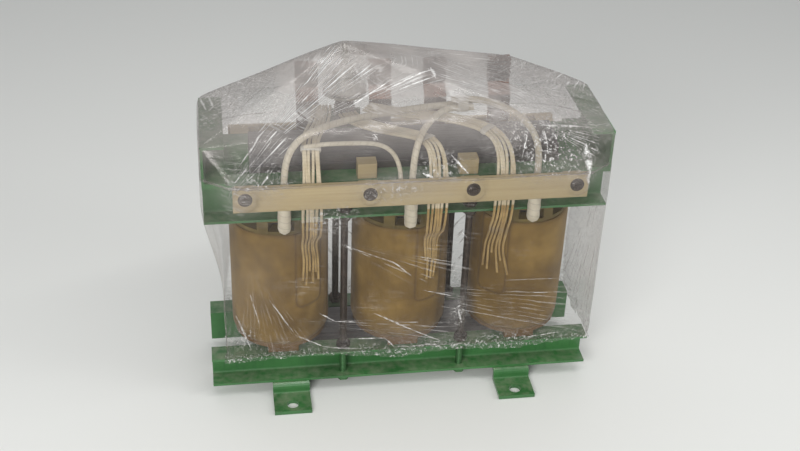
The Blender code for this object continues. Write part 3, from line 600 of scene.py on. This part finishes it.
def coil_sleeve(side):
    """Paper sleeve of a coil: a lapped seam, soft creases and a flap over the exit of the tap leads, with
    painted shade along the seam, round the flap, at the ends and in the ducts.
    """
    centre = middle("coil_" + side, "X")
    columns, rows = 340, 104
    exit_angle = math.asin(tap_exits[side] / coil_radius)
    seam = exit_angle - math.pi / 2 + math.copysign(0.62, exit_angle)
    waves = []
    for _ in range(10):
        turns, rise, phase = random.integers(2, 9), random.uniform(6, 30), random.uniform(0, 6.28)
        waves.append((turns, rise, phase, random.uniform(0.0001, 0.0004)))
    flap_half, flap_base, flap_corner = 0.031, coil_low + 0.085, 0.014
    points = []
    shade = []
    for row in range(rows + 1):
        z = coil_low + (coil_high - coil_low) * row / rows
        edge = min(z - coil_low, coil_high - z)
        for column in range(columns):
            angle = math.tau * column / columns
            radius = coil_radius - 0.0022 - 0.0035 * math.exp(-edge / 0.004)
            for turns, rise, phase, size in waves:
                radius += size * math.sin(turns * angle + rise * z + phase)
            since = (angle - seam) % math.tau
            radius += 0.0012 * math.exp(-since / 0.9)
            turn = (angle + math.pi / 2 - exit_angle + math.pi) % math.tau - math.pi
            aside = max(abs(turn) * coil_radius - flap_half + flap_corner, 0)
            under = max(flap_base + flap_corner - z, 0)
            outside = math.hypot(aside, under) - flap_corner
            radius += 0.0012 / (1 + math.exp(min(outside / 0.0008, 50)))
            # Painted shade along the flap's outline, just past the lapped seam and towards both ends of the
            # coil
            line = 0.95 * math.exp(-abs(outside) / 0.0020) + 0.8 * math.exp(-since / 0.025)
            shade.append(min(line + 0.5 * math.exp(-edge / 0.003), 1))
            points.append(ring_place((centre, 0, 0), radius, angle, z, "Z"))
    faces = ring_faces(columns, rows)
    bore = half("core_limb_" + side, "X") + 0.004
    bores = []
    duct_rings = ((0.016, 0), (0.016, 0.006), (0.011, 0.006), (0.011, 0), (0, 0))
    for base, level, way in ((0, coil_low, 1), (rows * columns, coil_high, -1)):
        for step_out, drop in duct_rings:
            radius = bore + step_out
            start = len(points)
            for column in range(columns):
                angle = math.tau * column / columns
                points.append(ring_place((centre, 0, 0), radius, angle, level + way * drop, "Z"))
                # Painted shade, deeper down the ducts
                shade.append(0.2 + 60 * drop)
            faces += join_rings(base, start, columns, way > 0)
            base = start
        bores.append(base)
    faces += join_rings(bores[0], bores[1], columns, True)
    item = mesh_item("coil_sleeve_" + side, points, faces, finishes["kraft_paper"])
    give_attribute(item, "shade", np.array(shade))
    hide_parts("coil_" + side)


tap_exits = {"left": 0.055, "centre": 0.048, "right": -0.066}
tap_splays = {"left": (-0.006, 0.005), "centre": (0.002, -0.010), "right": (-0.004, 0.026)}
for side in limb_places:
    coil_sleeve(side)

# High-voltage leads, on the routes of the solids
lead_radius = 0.0065
stub_radius = 0.0125
stub_length = 0.086
stub_taper = 0.020
crossing_rise = 0.0126
lead_top = yoke_top + 0.0775
lead_line = strip_back + fit_gap + stub_radius
stub_low = strip_base - 0.064
stub_top = stub_low + stub_length
row_line = -0.042
tape_place = limb_pitch * 0.417
lead_route_shares = {
    "left": [
        (-0.975, 0, 0.41), (-0.925, 0.165, 0.68), (-0.79, 0.42, 0.85), (-0.458, 0.73, 0.945),
        (0, 0.96, 0.99)],
    "centre": [(0.004, 0, 0.395), (0.033, 0.137, 0.693), (0.125, 0.515, 0.913)],
    "right": [(0.983, 0, 0.355), (0.975, 0.11, 0.646), (0.896, 0.407, 0.898), (0.73, 0.757, 1.055)],
}
tied = {
    "left": (1, row_line + lead_radius + fit_gap, lead_top),
    "centre": (1, row_line - lead_radius - fit_gap, lead_top),
    "right": (-1, row_line, lead_top + crossing_rise),
}


def high_voltage_lead(side, place):
    points = [(place * 0.98, lead_line, stub_low), (place * 0.98, lead_line, stub_top)]
    for across, back, rise in lead_route_shares[side]:
        line = lead_line + (row_line - lead_line) * back
        points.append((limb_pitch * across, line, stub_top + (lead_top - stub_top) * rise))
    heading, row, level = tied[side]
    for along in (-0.030, -0.010, 0.010, 0.020):
        points.append((tape_place + heading * along, row, level))
    route = smooth_route(points, 14)
    radii = []
    for spot in route:
        above = spot[2] - stub_low
        share = min(max((above - stub_length) / stub_taper, 0), 1)
        share = share * share * (3 - 2 * share)
        radius = stub_radius + (lead_radius - stub_radius) * share
        if above < stub_radius:
            radius *= max(math.sqrt(max(1 - (1 - above / stub_radius) ** 2, 0)), 0.25)
        radius += 0.0004 * math.sin(above * 310 + place * 40) if above < 0.09 else 0
        radii.append(radius - 0.0002)
    item = tube("lead_" + side, route, radii, finishes["crepe_paper"], 18)
    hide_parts("hv_lead_" + side)


for side, place in limb_places.items():
    high_voltage_lead(side, place)

# Tap leads, separate wires that lie side by side
wire_count = 6
wire_radius = 0.0025
wire_spacing = 0.0060
wire_clearance = fit_gap + 0.0033
tap_line = clamp_edge + 0.018
# Shares of the way along, back and up, and how far the row of wires leans from X towards Y
tap_route_shares = {
    "left": [
        (-0.771, 0.084, 0.66, 0), (-0.758, 0.256, 0.91, 0), (-0.692, 0.491, 0.56, 0.1),
        (-0.633, 0.726, 0.385, 0.1), (-0.608, 0.930, 0.385, 0)],
    "centre": [
        (0.192, 0.084, 0.51, 0), (0.142, 0.233, 0.76, 0.5), (-0.063, 0.421, 0.46, 1),
        (-0.258, 0.624, 0.185, 0.9), (-0.383, 0.781, 0.11, 0.3), (-0.408, 0.875, 0.11, 0)],
    "right": [
        (0.721, 0.084, 0.66, 0), (0.625, 0.248, 1.11, 0.7), (0.333, 0.475, 1.01, 1.3),
        (0.025, 0.655, 0.66, 1.4), (-0.158, 0.804, 0.46, 1.4), (-0.250, 0.867, 0.435, 1.2)],
}


def tap_bundle(side, centre):
    offset = tap_exits[side]
    angle = math.asin(offset / coil_radius)
    reach = coil_radius + wire_clearance
    touch = (centre + reach * math.sin(angle), -reach * math.cos(angle))
    tangent = (math.cos(angle), math.sin(angle), 0)
    behind = strip_back + wire_clearance
    flat = (1, 0, 0)
    plan = [
        ((*touch, coil_high - 0.124), tangent), ((*touch, coil_high - 0.082), tangent),
        ((*touch, coil_high - 0.040), tangent), ((centre + offset, behind, clamp_low - 0.012), flat),
        ((centre + offset, behind, strip_base), flat), ((centre + offset, behind, strip_top), flat)]
    for along, back, rise, lean in tap_route_shares[side]:
        place = (limb_pitch * along, behind + (tap_line - behind) * back, yoke_top + 0.040 * rise)
        plan.append((place, (1, lean, 0)))
    route = smooth_route([spot for spot, width in plan], 10)
    widths = smooth_route([width for spot, width in plan], 10)
    along = unit(np.gradient(route, axis=0))
    sideways = unit(widths - along * np.sum(widths * along, axis=1)[:, None])
    outward = np.cross(along, sideways)
    share = np.linspace(0, 1, len(route))
    for index in range(wire_count):
        shift = (index - (wire_count - 1) / 2) * wire_spacing
        wander = 0.0016 * np.sin(share * 13 + index * 1.9) * np.sin(share * math.pi)
        spread = shift * (1.02 + 0.07 * np.sin(share * 9 + index * 2.3))
        first, last = tap_splays[side]
        splay = first + (last - first) * index / (wire_count - 1)
        spread += splay * np.clip(1 - share / 0.26, 0, 1) ** 1.5
        wire = route + sideways * (spread + wander)[:, None] + outward * (0.4 * wander)[:, None]
        radius = np.hypot(wire[:, 0] - centre, wire[:, 1])
        pull = 1 + (reach / radius - 1) * np.clip((coil_high + 0.004 - wire[:, 2]) / 0.045, 0, 1)
        wire[:, 0] = centre + (wire[:, 0] - centre) * pull
        wire[:, 1] *= pull
        drop = int(len(route) * (0.02 + 0.11 * random.uniform() * (index % 2 == 0)))
        wire = wire[drop:]
        split = int(len(route) * 0.34) - drop
        stages = (("wire", wire[:split + 1], wire_radius, finishes["wire_paper"]),
                  ("sleeve", wire[split:], wire_radius + 0.0003, wire_sleeve))
        for kind, run, size, finish in stages:
            piece = tube(f"tap_{kind}_{side}_{index}", run, np.full(len(run), size), finish, 10)
            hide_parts("tap_leads_" + side)

    # A flat tie round the wires
    spot = int(len(route) * 0.63)
    steps = 28
    band = []
    for step in range(steps):
        turn = math.tau * step / steps
        wide = 0.0188 * np.sign(math.cos(turn)) * abs(math.cos(turn)) ** 0.6
        deep = 0.0046 * np.sign(math.sin(turn)) * abs(math.sin(turn)) ** 0.6
        band.append((wide, deep))
    points = []
    for part in np.linspace(-0.006, 0.006, 5):
        puff = 1.0 if abs(part) < 0.005 else 0.96
        for wide, deep in band:
            aside = sideways[spot] * wide * puff + outward[spot] * deep * puff
            points.append(route[spot] + along[spot] * part + aside)
    item = mesh_item(f"tap_tie_{side}_{spot}", points, ring_faces(steps, 4), finishes["cotton_tape"])
    thick = item.modifiers.new("thick", "SOLIDIFY")
    thick.thickness = 0.0006


for side, place in limb_places.items():
    tap_bundle(side, place)

# A thin lead from the left tap leads, along in front of the yoke and down beside the middle lead
link_route = smooth_route(metres([
    (-196, -90, 560), (-165, -94, 567), (-120, -97, 568), (-75, -98, 568),
    (-46, -100, 560), (-28, -106, 540), (-21, -113, 512), (-21, -114, 490)]), 12)
item = tube("link_lead", link_route, np.full(len(link_route), 0.0042), finishes["crepe_paper"], 14)

# Bolts through the front strip, each a washer, a nut and a stud end
bolts = []
bolt_places = (-0.306, limb_pitch * -0.334, limb_pitch * 0.459, 0.306)
bolt_level = strip_top - 0.022
washer = [(12.5, 0), (13, -0.6), (13, -2.2), (12, -2.8)]
stud_end = [(5, -9), (5, -11.2), (4.2, -12)]
for place in bolt_places:
    seat = (place, strip_front, bolt_level)
    bolts.append(turned(washer, seat, 32, "Y"))
    bolts.append(hexagon_bolt((place, strip_front - 0.0026, bolt_level), 0.0175, 0.0065, "Y", -1))
    bolts.append(turned(stud_end, seat, 20, "Y"))
join_parts("strip_bolts", bolts, bolt_steel)

# Tap changer: moulded body with contact studs, a bolted double flange, a bell and a stem
tap_low = span("tap_changer", "Z")[0]
tap_x = middle("tap_changer", "X")
tap_y = middle("tap_changer", "Y")
flange_base = tap_low + 0.068
flange_top = flange_base + 0.014
bell_top = flange_top + 0.056
body = turned([
    (17, 0), (18, 1), (18, 10), (16.5, 12), (16.5, 18), (18, 20),
    (18, 48), (16.5, 50), (16.5, 56), (18, 58), (18, 68)], (tap_x, tap_y, tap_low))
item = join_parts("tap_body", [body], dark_resin())
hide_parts("tap_changer")
flanges = turned([
    (41.5, 0), (42.5, 0.8), (42.5, 4.2), (41.8, 5), (29, 5), (29, 9), (41.8, 9), (42.5, 9.8),
    (42.5, 13.2), (41.6, 14), (29, 14), (28.2, 16.5), (26.2, 30), (22.2, 45), (17, 58), (13.2, 66),
    (12, 70), (8.5, 70), (8.5, 76), (6, 77), (6, 102.5), (5.2, 104)], (tap_x, tap_y, flange_base), 64)
parts = [flanges]
tap_centre = (tap_x, tap_y, 0)
for step in range(8):
    spot = ring_place(tap_centre, 0.0355, math.tau * (step + 0.5) / 8, flange_top, "Z")
    parts.append(hexagon_bolt(spot, 0.0080, 0.0042, "Z"))
parts.append(hexagon_bolt((tap_x, tap_y, bell_top + 0.006), 0.0140, 0.007, "Z"))
item = join_parts("tap_bell", parts, aluminium())
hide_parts("tap_changer")
studs = []
stud = [(2.6, -2.6), (3, -2), (3, 2), (2.6, 2.6)]
for level in (0.024, 0.036):
    for step in range(9):
        spot = ring_place(tap_centre, 0.0180, math.tau * step / 9, tap_low + level, "Z")
        studs.append(turned(stud, spot, 12))
join_parts("tap_contacts", studs, finishes["copper"])


def film_grid():
    """Stretch film drawn over the frame: rows of places on the hull, from the hem up to the ridge."""
    shell = nodes["film_wrap"]
    mesh = shell.evaluated_get(bpy.context.evaluated_depsgraph_get()).to_mesh()
    corners = [shell.matrix_world @ vertex.co for vertex in mesh.vertices]
    tree = BVHTree.FromPolygons(corners, [list(face.vertices) for face in mesh.polygons])
    half_x, half_y, corner = clamp_half + 0.0012, 0.10, 0.03
    square = 1.42
    fine = 4000
    angles = np.linspace(0, math.tau, fine, endpoint=False)
    across, along = np.cos(angles), np.sin(angles)
    outline = np.stack([
        (half_x - corner) * np.clip(across * square, -1, 1) + corner * across,
        (half_y - corner) * np.clip(along * square, -1, 1) + corner * along], axis=1)
    lengths = np.linalg.norm(np.roll(outline, -1, axis=0) - outline, axis=1)
    total = np.concatenate([[0], np.cumsum(lengths * np.where(outline[:, 1] < -0.06, 1.7, 1.0))])
    wanted = np.arange(film_columns) / film_columns * total[-1]
    marks = np.interp(wanted, total, np.arange(fine + 1)).astype(int) % fine
    ring = outline[marks]
    hood_start = clamp_top + 0.03
    points = np.zeros((skirt_rows + hood_rows + 1, film_columns, 3))
    for row in range(skirt_rows):
        z = hem_level + (hood_start - hem_level) * row / skirt_rows
        for column, (x, y) in enumerate(ring):
            hit = tree.ray_cast(Vector((x * 0.55, 0, z)), Vector((x * 0.45 + 0.0001, y, 0)).normalized())[0]
            points[row, column] = hit if hit else (x, y, z)
    for index in range(hood_rows + 1):
        share = index / hood_rows
        tilt = share * math.pi / 2
        for column, (x, y) in enumerate(ring):
            spine = x * 0.80
            origin = Vector((spine * (1 - 0.25 * share), 0.02 * share, hood_start - 0.02))
            flat = Vector((x - spine + 0.0001, y, 0)).normalized()
            way = flat * math.cos(tilt) + Vector((0, 0, math.sin(tilt)))
            hit = tree.ray_cast(origin, way.normalized())[0]
            points[skirt_rows + index, column] = hit if hit else (x, y, hood_start)
    return points


def smooth_grid(points, rounds):
    for _ in range(rounds):
        around = (np.roll(points, 1, axis=1) + np.roll(points, -1, axis=1)) / 2
        middle = points.copy()
        middle[1:-1] = (points[2:] + points[:-2]) / 2
        points = points * 0.5 + (around + middle) * 0.25
    return points


def window(value, low, high, soft):
    """1 between low and high, falling to 0 over the soft width outside them."""
    rise = np.clip((value - low) / soft + 1, 0, 1)
    fall = np.clip((high - value) / soft + 1, 0, 1)
    return rise * rise * (3 - 2 * rise) * fall * fall * (3 - 2 * fall)


film_columns, skirt_rows, hood_rows, hem_rows = 560, 88, 84, 6
hem_level = floor_clamp_top + 0.001
sheet = smooth_grid(film_grid(), 9)
film_faces = ring_faces(film_columns, sheet.shape[0] - 1)
film_tree = BVHTree.FromPolygons(sheet.reshape(-1, 3).tolist(), film_faces)

# The film stands out over the bolt ends
for place in bolt_places:
    radius = np.hypot(sheet[..., 0] - place, sheet[..., 2] - bolt_level)
    sheet[..., 1] -= 0.013 * window(radius, 0, 0.0105, 0.016) * (sheet[..., 1] < -0.1)

# At the left end the film is drawn in under the coil
drawn_in = window(sheet[..., 2], 0.08, 0.24, 0.22) * window(-sheet[..., 0], 0.36, 1.0, 0.10)
sheet[..., 0] += 0.033 * drawn_in

# All places and widths on the film are in millimetres.
# Fans of creases, white lines partly painted as highlights: where they spring from, the first and last
# places that they run to, how many there are, the shares of the way between which they show, and their
# strength
crease_fans = [
    ((-300, -135, 525), (-138, 92, 661), (-73, 24, 644), 12, 0.4, 1, 2),
    ((-345, -150, 480), (-262, -70, 598), (-225, -110, 570), 9, 0.2, 1, 0.9),
    ((-205, -85, 596), (-28, 15, 642), (60, -5, 640), 5, 0.15, 1, 0.8),
    ((345, -85, 578), (73, 103, 644), (63, -10, 640), 11, 0.1, 0.95, 0.5),
    ((225, -95, 596), (335, -100, 580), (322, -125, 545), 9, 0.15, 1.1, 0.9),
    ((-100, 110, 672), (-360, 110, 585), (-200, 150, 612), 9, 0.08, 1, 0.6),
    ((-100, 110, 672), (170, 155, 620), (190, 50, 625), 10, 0.08, 1, 0.3),
    ((-300, -130, 350), (-325, -105, 120), (-190, -105, 135), 12, 0.15, 1, 0.3),
    ((-80, -120, 270), (340, -105, 122), (340, -118, 235), 8, 0.4, 1, 0.45),
    ((-260, -115, 200), (85, -103, 106), (60, -111, 165), 5, 0.2, 1, 0.6),
    ((-155, -136, 390), (5, -122, 275), (110, -125, 305), 5, 0.15, 1, 0.5),
    ((-330, 141, 470), (-200, 105, 120), (60, 120, 300), 11, 0.12, 1, 0.6),
    ((330, 141, 470), (120, 105, 120), (0, 135, 380), 11, 0.12, 1, 0.6),
    ((385, -95, 560), (385, -80, 110), (385, 95, 150), 10, 0.1, 1, 0.55),
    ((-385, 95, 560), (-385, -95, 150), (-385, 80, 110), 10, 0.1, 1, 0.55),
    ((339, 141, 490), (240, 150, 600), (370, 60, 580), 9, 0.1, 1.1, 0.6),
    ((-339, 141, 490), (-370, 60, 580), (-200, 150, 600), 9, 0.1, 1.1, 0.6),
]

# Single creases, raised a little and drawn white with painted highlights: start, end, width and strength
creases = [
    ((-109, -50, 616), (-29, 3, 640), 4, 1),
    ((-36, -17, 632), (58, 34, 645), 4.6, 1),
    ((-11, -19, 633), (51, 5, 644), 4, 0.9),
    ((54, 40, 647), (56, 5, 644), 8, 0.9),
    ((-266, -119, 248), (-223, -109, 165), 3, 0.8),
    ((-303, -122, 268), (-288, -113, 194), 3, 0.55),
    ((-330, -114, 213), (-306, -105, 126), 4.5, 0.65),
    ((-216, -108, 152), (-163, -104, 118), 3.4, 0.8),
    ((-163, -104, 118), (-86, -102, 104), 3.4, 0.8),
    ((-169, -114, 206), (-140, -111, 183), 4, 0.85),
    ((-140, -111, 183), (-99, -111, 178), 3.4, 0.8),
    ((-61, -113, 196), (17, -107, 145), 5, 0.75),
    ((17, -107, 145), (76, -103, 110), 3.6, 0.75),
    ((-29, -128, 324), (5, -124, 289), 3.2, 0.8),
    ((7, -130, 339), (82, -127, 318), 2.6, 0.7),
    ((34, -119, 249), (88, -117, 231), 3.4, 0.8),
    ((71, -114, 204), (315, -105, 128), 2.6, 0.6),
    ((192, -121, 264), (296, -121, 261), 2.6, 0.55),
    ((238, -117, 228), (327, -116, 223), 2.6, 0.55),
    ((-112, -133, 366), (-29, -128, 324), 2.2, 0.6),
    ((-106, -106, 134), (-40, -105, 130), 3.4, 0.8),
    ((-40, -105, 130), (-20, -102, 104), 3.4, 0.8),
    ((-20, -102, 104), (123, -102, 100), 3.2, 0.75),
    ((240, -102, 102), (316, -103, 114), 3.6, 0.75),
    ((69, -124, 549), (98, -139, 519), 5, 0.95),
    ((15, -137, 522), (36, -141, 514), 5, 0.9),
    ((212, -107, 583), (199, -129, 538), 3.2, 0.7),
    ((243, -107, 581), (248, -121, 555), 4, 0.8),
    ((322, -120, 556), (328, -142, 510), 15, 0.85),
    ((328, -142, 510), (318, -144, 485), 11, 0.8),
    ((-121, -133, 372), (-112, -133, 364), 5, 0.9),
    ((96, -135, 390), (104, -134, 378), 4, 0.7),
    ((104, -112, 196), (113, -109, 158), 5, 0.85),
    ((-69, -105, 585), (-66, -105, 579), 4.5, 1),
    ((-264, -80, 593), (-312, -122, 547), 3.4, 0.6),
    ((-255, -129, 538), (-279, -143, 511), 4, 0.7),
    ((-285, -119, 554), (-322, -137, 521), 3.4, 0.6),
    ((235, -100, 591), (312, -99, 585), 4.6, 0.6),
]

# Places where the film is crumpled small, given painted glints: centre, reach across and up, and strength
crumples = [
    ((250, -118, 552), (85, 45), 1.3),
    ((55, -130, 530), (50, 24), 0.8),
    ((-270, -130, 520), (50, 35), 0.7),
    ((-40, -142, 490), (60, 22), 0.8),
    ((-150, -138, 440), (50, 30), 0.9),
    ((-85, 20, 645), (30, 12), 0.5),
    ((200, -103, 105), (80, 18), 1),
    ((-320, -110, 150), (35, 45), 0.7),
    ((105, -112, 180), (18, 40), 0.9),
]

# Places where it is hazy: centre, reach across and up, and strength
hazes = [
    ((-310, -142, 500), (60, 50), 0.6),
    ((-20, -142, 500), (90, 30), 0.6),
    ((290, -135, 530), (90, 50), 0.7),
    ((-300, -120, 290), (60, 100), 0.25),
    ((-170, -134, 410), (60, 50), 0.35),
    ((60, -108, 130), (300, 35), 0.3),
    ((105, -112, 180), (25, 60), 0.5),
]


def patches(base, table):
    """Raises the base over the places of a table."""
    for centre, reach, strength in table:
        across, up = metres(reach)
        offset = sheet - metres(centre)
        near = (offset[..., 0] / across) ** 2 + (offset[..., 1] / 0.05) ** 2 + (offset[..., 2] / up) ** 2
        base = np.maximum(base, strength * np.exp(-near))
    return base


sideways = np.roll(sheet, -1, axis=1) - np.roll(sheet, 1, axis=1)
normals = np.cross(sideways, np.gradient(sheet, axis=0))
for _ in range(4):
    normals = smooth_grid(unit(normals), 1)
normals = unit(normals)

fold = np.zeros(sheet.shape[:2])
stroke = np.zeros(sheet.shape)
nearest = np.full(fold.shape, 1.0)
for index, (start, end, width, strength) in enumerate(creases):
    start, end = (np.array(film_tree.find_nearest(Vector(metres(spot)))[0]) for spot in (start, end))
    width /= 1000
    way = end - start
    length = np.linalg.norm(way)
    offset = sheet - start
    run = offset @ way / length ** 2
    taper = np.sin(np.clip(run, 0.03, 0.97) * math.pi) ** 0.5
    rest = offset - np.clip(run, 0, 1)[..., None] * way
    distance = np.linalg.norm(rest, axis=2)
    aside = np.sum(np.cross(way / length, normals) * rest, axis=2)
    closer = distance < nearest
    nearest = np.where(closer, distance, nearest)
    reach = window(distance, 0, 0.006, 0.005) * window(run, 0, 1, 0.004 / length)
    values = np.stack([run * length + index, aside / (0.62 * width * taper), strength * reach], axis=2)
    stroke = np.where(closer[..., None], values, stroke)
    fold = np.maximum(fold, strength * np.exp(-(distance / width) ** 2))

fan = np.zeros(sheet.shape)
for index, (origin, first, last, count, start, end, strength) in enumerate(crease_fans):
    origin = metres(origin)
    sides = np.stack([metres(first) - origin, metres(last) - origin], axis=1)
    offset = sheet - origin
    amounts = offset @ np.linalg.pinv(sides).T
    out = amounts.sum(axis=2)
    share = amounts[..., 1] / np.where(np.abs(out) < 0.001, 0.001, out)
    away = np.linalg.norm(offset - amounts @ sides.T, axis=2)
    amount = strength * window(share, 0, 1, 0.10) * window(out, start, end, 0.12)
    amount = amount * np.exp(-(away / 0.045) ** 2)
    stronger = amount > fan[..., 2]
    values = np.stack([share * count + 40 * index, out * np.linalg.norm(sides[:, 0]), amount], axis=2)
    fan = np.where(stronger[..., None], values, fan)

level = sheet[..., 2]
front = np.clip((-sheet[..., 1] - 0.02) / 0.05, 0, 1)
hem = np.exp(-(level - level.min()) / 0.020)
crush = np.maximum(patches(hem, crumples), 0.35 * window(level, 0.50, 0.60, 0.04) * (1 - front))

# Gathers along the hem and slack everywhere
steps = np.linalg.norm(np.diff(sheet[0], axis=0), axis=1)
around = np.concatenate([[0], np.cumsum(steps)])
phase = random.uniform(0, math.tau, 24)
gather = np.zeros_like(level)
slack = np.zeros_like(level)
for index in range(12):
    lean = (60 + 25 * index) * (1 if index % 2 else -1)
    gather += np.sin(around * (35 + 21 * index) + phase[index] + level * lean) / (1 + 0.35 * index)
    sway = phase[index + 12] + level * 30 * math.sin(index)
    slack += np.sin(around * (5 + 3.1 * index) + sway) / (1 + 0.5 * index)
lift = fold * 0.0016 + hem * gather * 0.0014 + slack * 0.0008 + 0.0014
sheet = sheet + normals * np.clip(lift, -0.0004, 0.006)[..., None]

# The hem hangs a little over the lower channels
share = np.linspace(1, 1 / hem_rows, hem_rows)[:, None, None]
hang = 0.009 + 0.006 * np.sin(around * 9 + 1.0) + 0.005 * np.sin(around * 23 + 2.0)
outward = 0.0016 + 0.0010 * np.sin(around * 180)
edge = np.repeat(sheet[:1], hem_rows, axis=0)
edge = edge + share * (normals[:1] * outward[None, :, None])
edge[..., 2] -= share[..., 0] * np.clip(hang, 0.002, 0.024)[None, :]
sheet = np.concatenate([edge, sheet])
sheet[..., 0] = np.clip(sheet[..., 0], cad_box[0][0] - 0.004, cad_box[1][0] + 0.004)
sheet[..., 2] = np.minimum(sheet[..., 2], cad_box[1][2] + 0.003)
crush = np.concatenate([np.ones((hem_rows, film_columns)), crush])
fan = np.concatenate([np.repeat(fan[:1], hem_rows, axis=0), fan])
stroke = np.concatenate([np.repeat(stroke[:1] * (1, 1, 0), hem_rows, axis=0), stroke])
height = sheet[..., 2]
veil = np.maximum(1.2 * window(height, 0.605, 1.0, 0.085), 1.7 * window(height, 0.634, 1.0, 0.030))
veil = np.maximum(patches(veil, hazes), 0.15 * window(np.abs(sheet[..., 0]), 0.372, 1.0, 0.05))
flow = np.stack([np.broadcast_to(around, veil.shape), height + 0.15 * around, np.zeros_like(veil)], axis=2)

faces = ring_faces(film_columns, sheet.shape[0] - 1)
film = mesh_item("film", sheet.reshape(-1, 3).tolist(), faces, clear_film())
for name, data in (("crush", crush), ("veil", veil), ("flow", flow), ("fan", fan), ("stroke", stroke)):
    give_attribute(film, name, data)
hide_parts("film_wrap")

# Floor and backdrop, the lamps and the camera
floor_graph = Graph("studio_floor")
bpy.ops.mesh.primitive_plane_add(size=60, location=(0, 0, -0.0006))
studio = bpy.context.object
studio.name = "studio_floor"
studio.data.materials.append(floor_graph.finish(srgb(226, 226, 222), 0.7))

world = bpy.data.worlds.new("studio")
bpy.context.scene.world = world
world.use_nodes = True
background = world.node_tree.nodes["Background"]
background.inputs["Color"].default_value = (0.80, 0.82, 0.84, 1.0)
background.inputs["Strength"].default_value = 0.55


def lamp(name, place, aim, size, power):
    data = bpy.data.lights.new(name, "AREA")
    data.shape = "RECTANGLE"
    data.size, data.size_y = size
    data.energy = power
    item = bpy.data.objects.new(name, data)
    bpy.context.scene.collection.objects.link(item)
    item.location = place
    item.rotation_euler = (Vector(aim) - Vector(place)).to_track_quat("-Z", "Y").to_euler()


lamp("key", (-1.3, -2.8, 1.7), (0, 0, 0.3), (1.5, 0.9), 68)
lamp("overhead_front", (0.3, -0.7, 2.3), (0, 0, 0.4), (2.4, 0.16), 13)
lamp("overhead_rear", (0.0, 1.1, 2.2), (0, 0, 0.5), (2.4, 0.16), 7)
lamp("side", (2.2, -1.0, 1.3), (0, 0, 0.35), (0.35, 1.4), 12)

scene = bpy.context.scene
scene.view_settings.view_transform = "Standard"
camera_data = bpy.data.cameras.new("camera")
camera = bpy.data.objects.new("camera", camera_data)
scene.collection.objects.link(camera)
scene.camera = camera
yaw, pitch, roll = math.radians(-2.4056), math.radians(22.742), math.radians(1.0897)
camera.location = (-0.3466, -2.0591, 1.6413)
forward = Vector((-math.sin(yaw) * math.cos(pitch), math.cos(yaw) * math.cos(pitch), -math.sin(pitch)))
level_turn = forward.to_track_quat("-Z", "Y")
fitted = level_turn @ Matrix.Rotation(-roll, 4, "Z").to_quaternion()
wanted = (Vector((0.0, 0.0, 0.325)) - camera.location).normalized()
camera.rotation_mode = "QUATERNION"
camera.rotation_quaternion = forward.rotation_difference(wanted) @ fitted
camera_data.sensor_width = 36
camera_data.lens = 56.0
camera_data.clip_end = 100
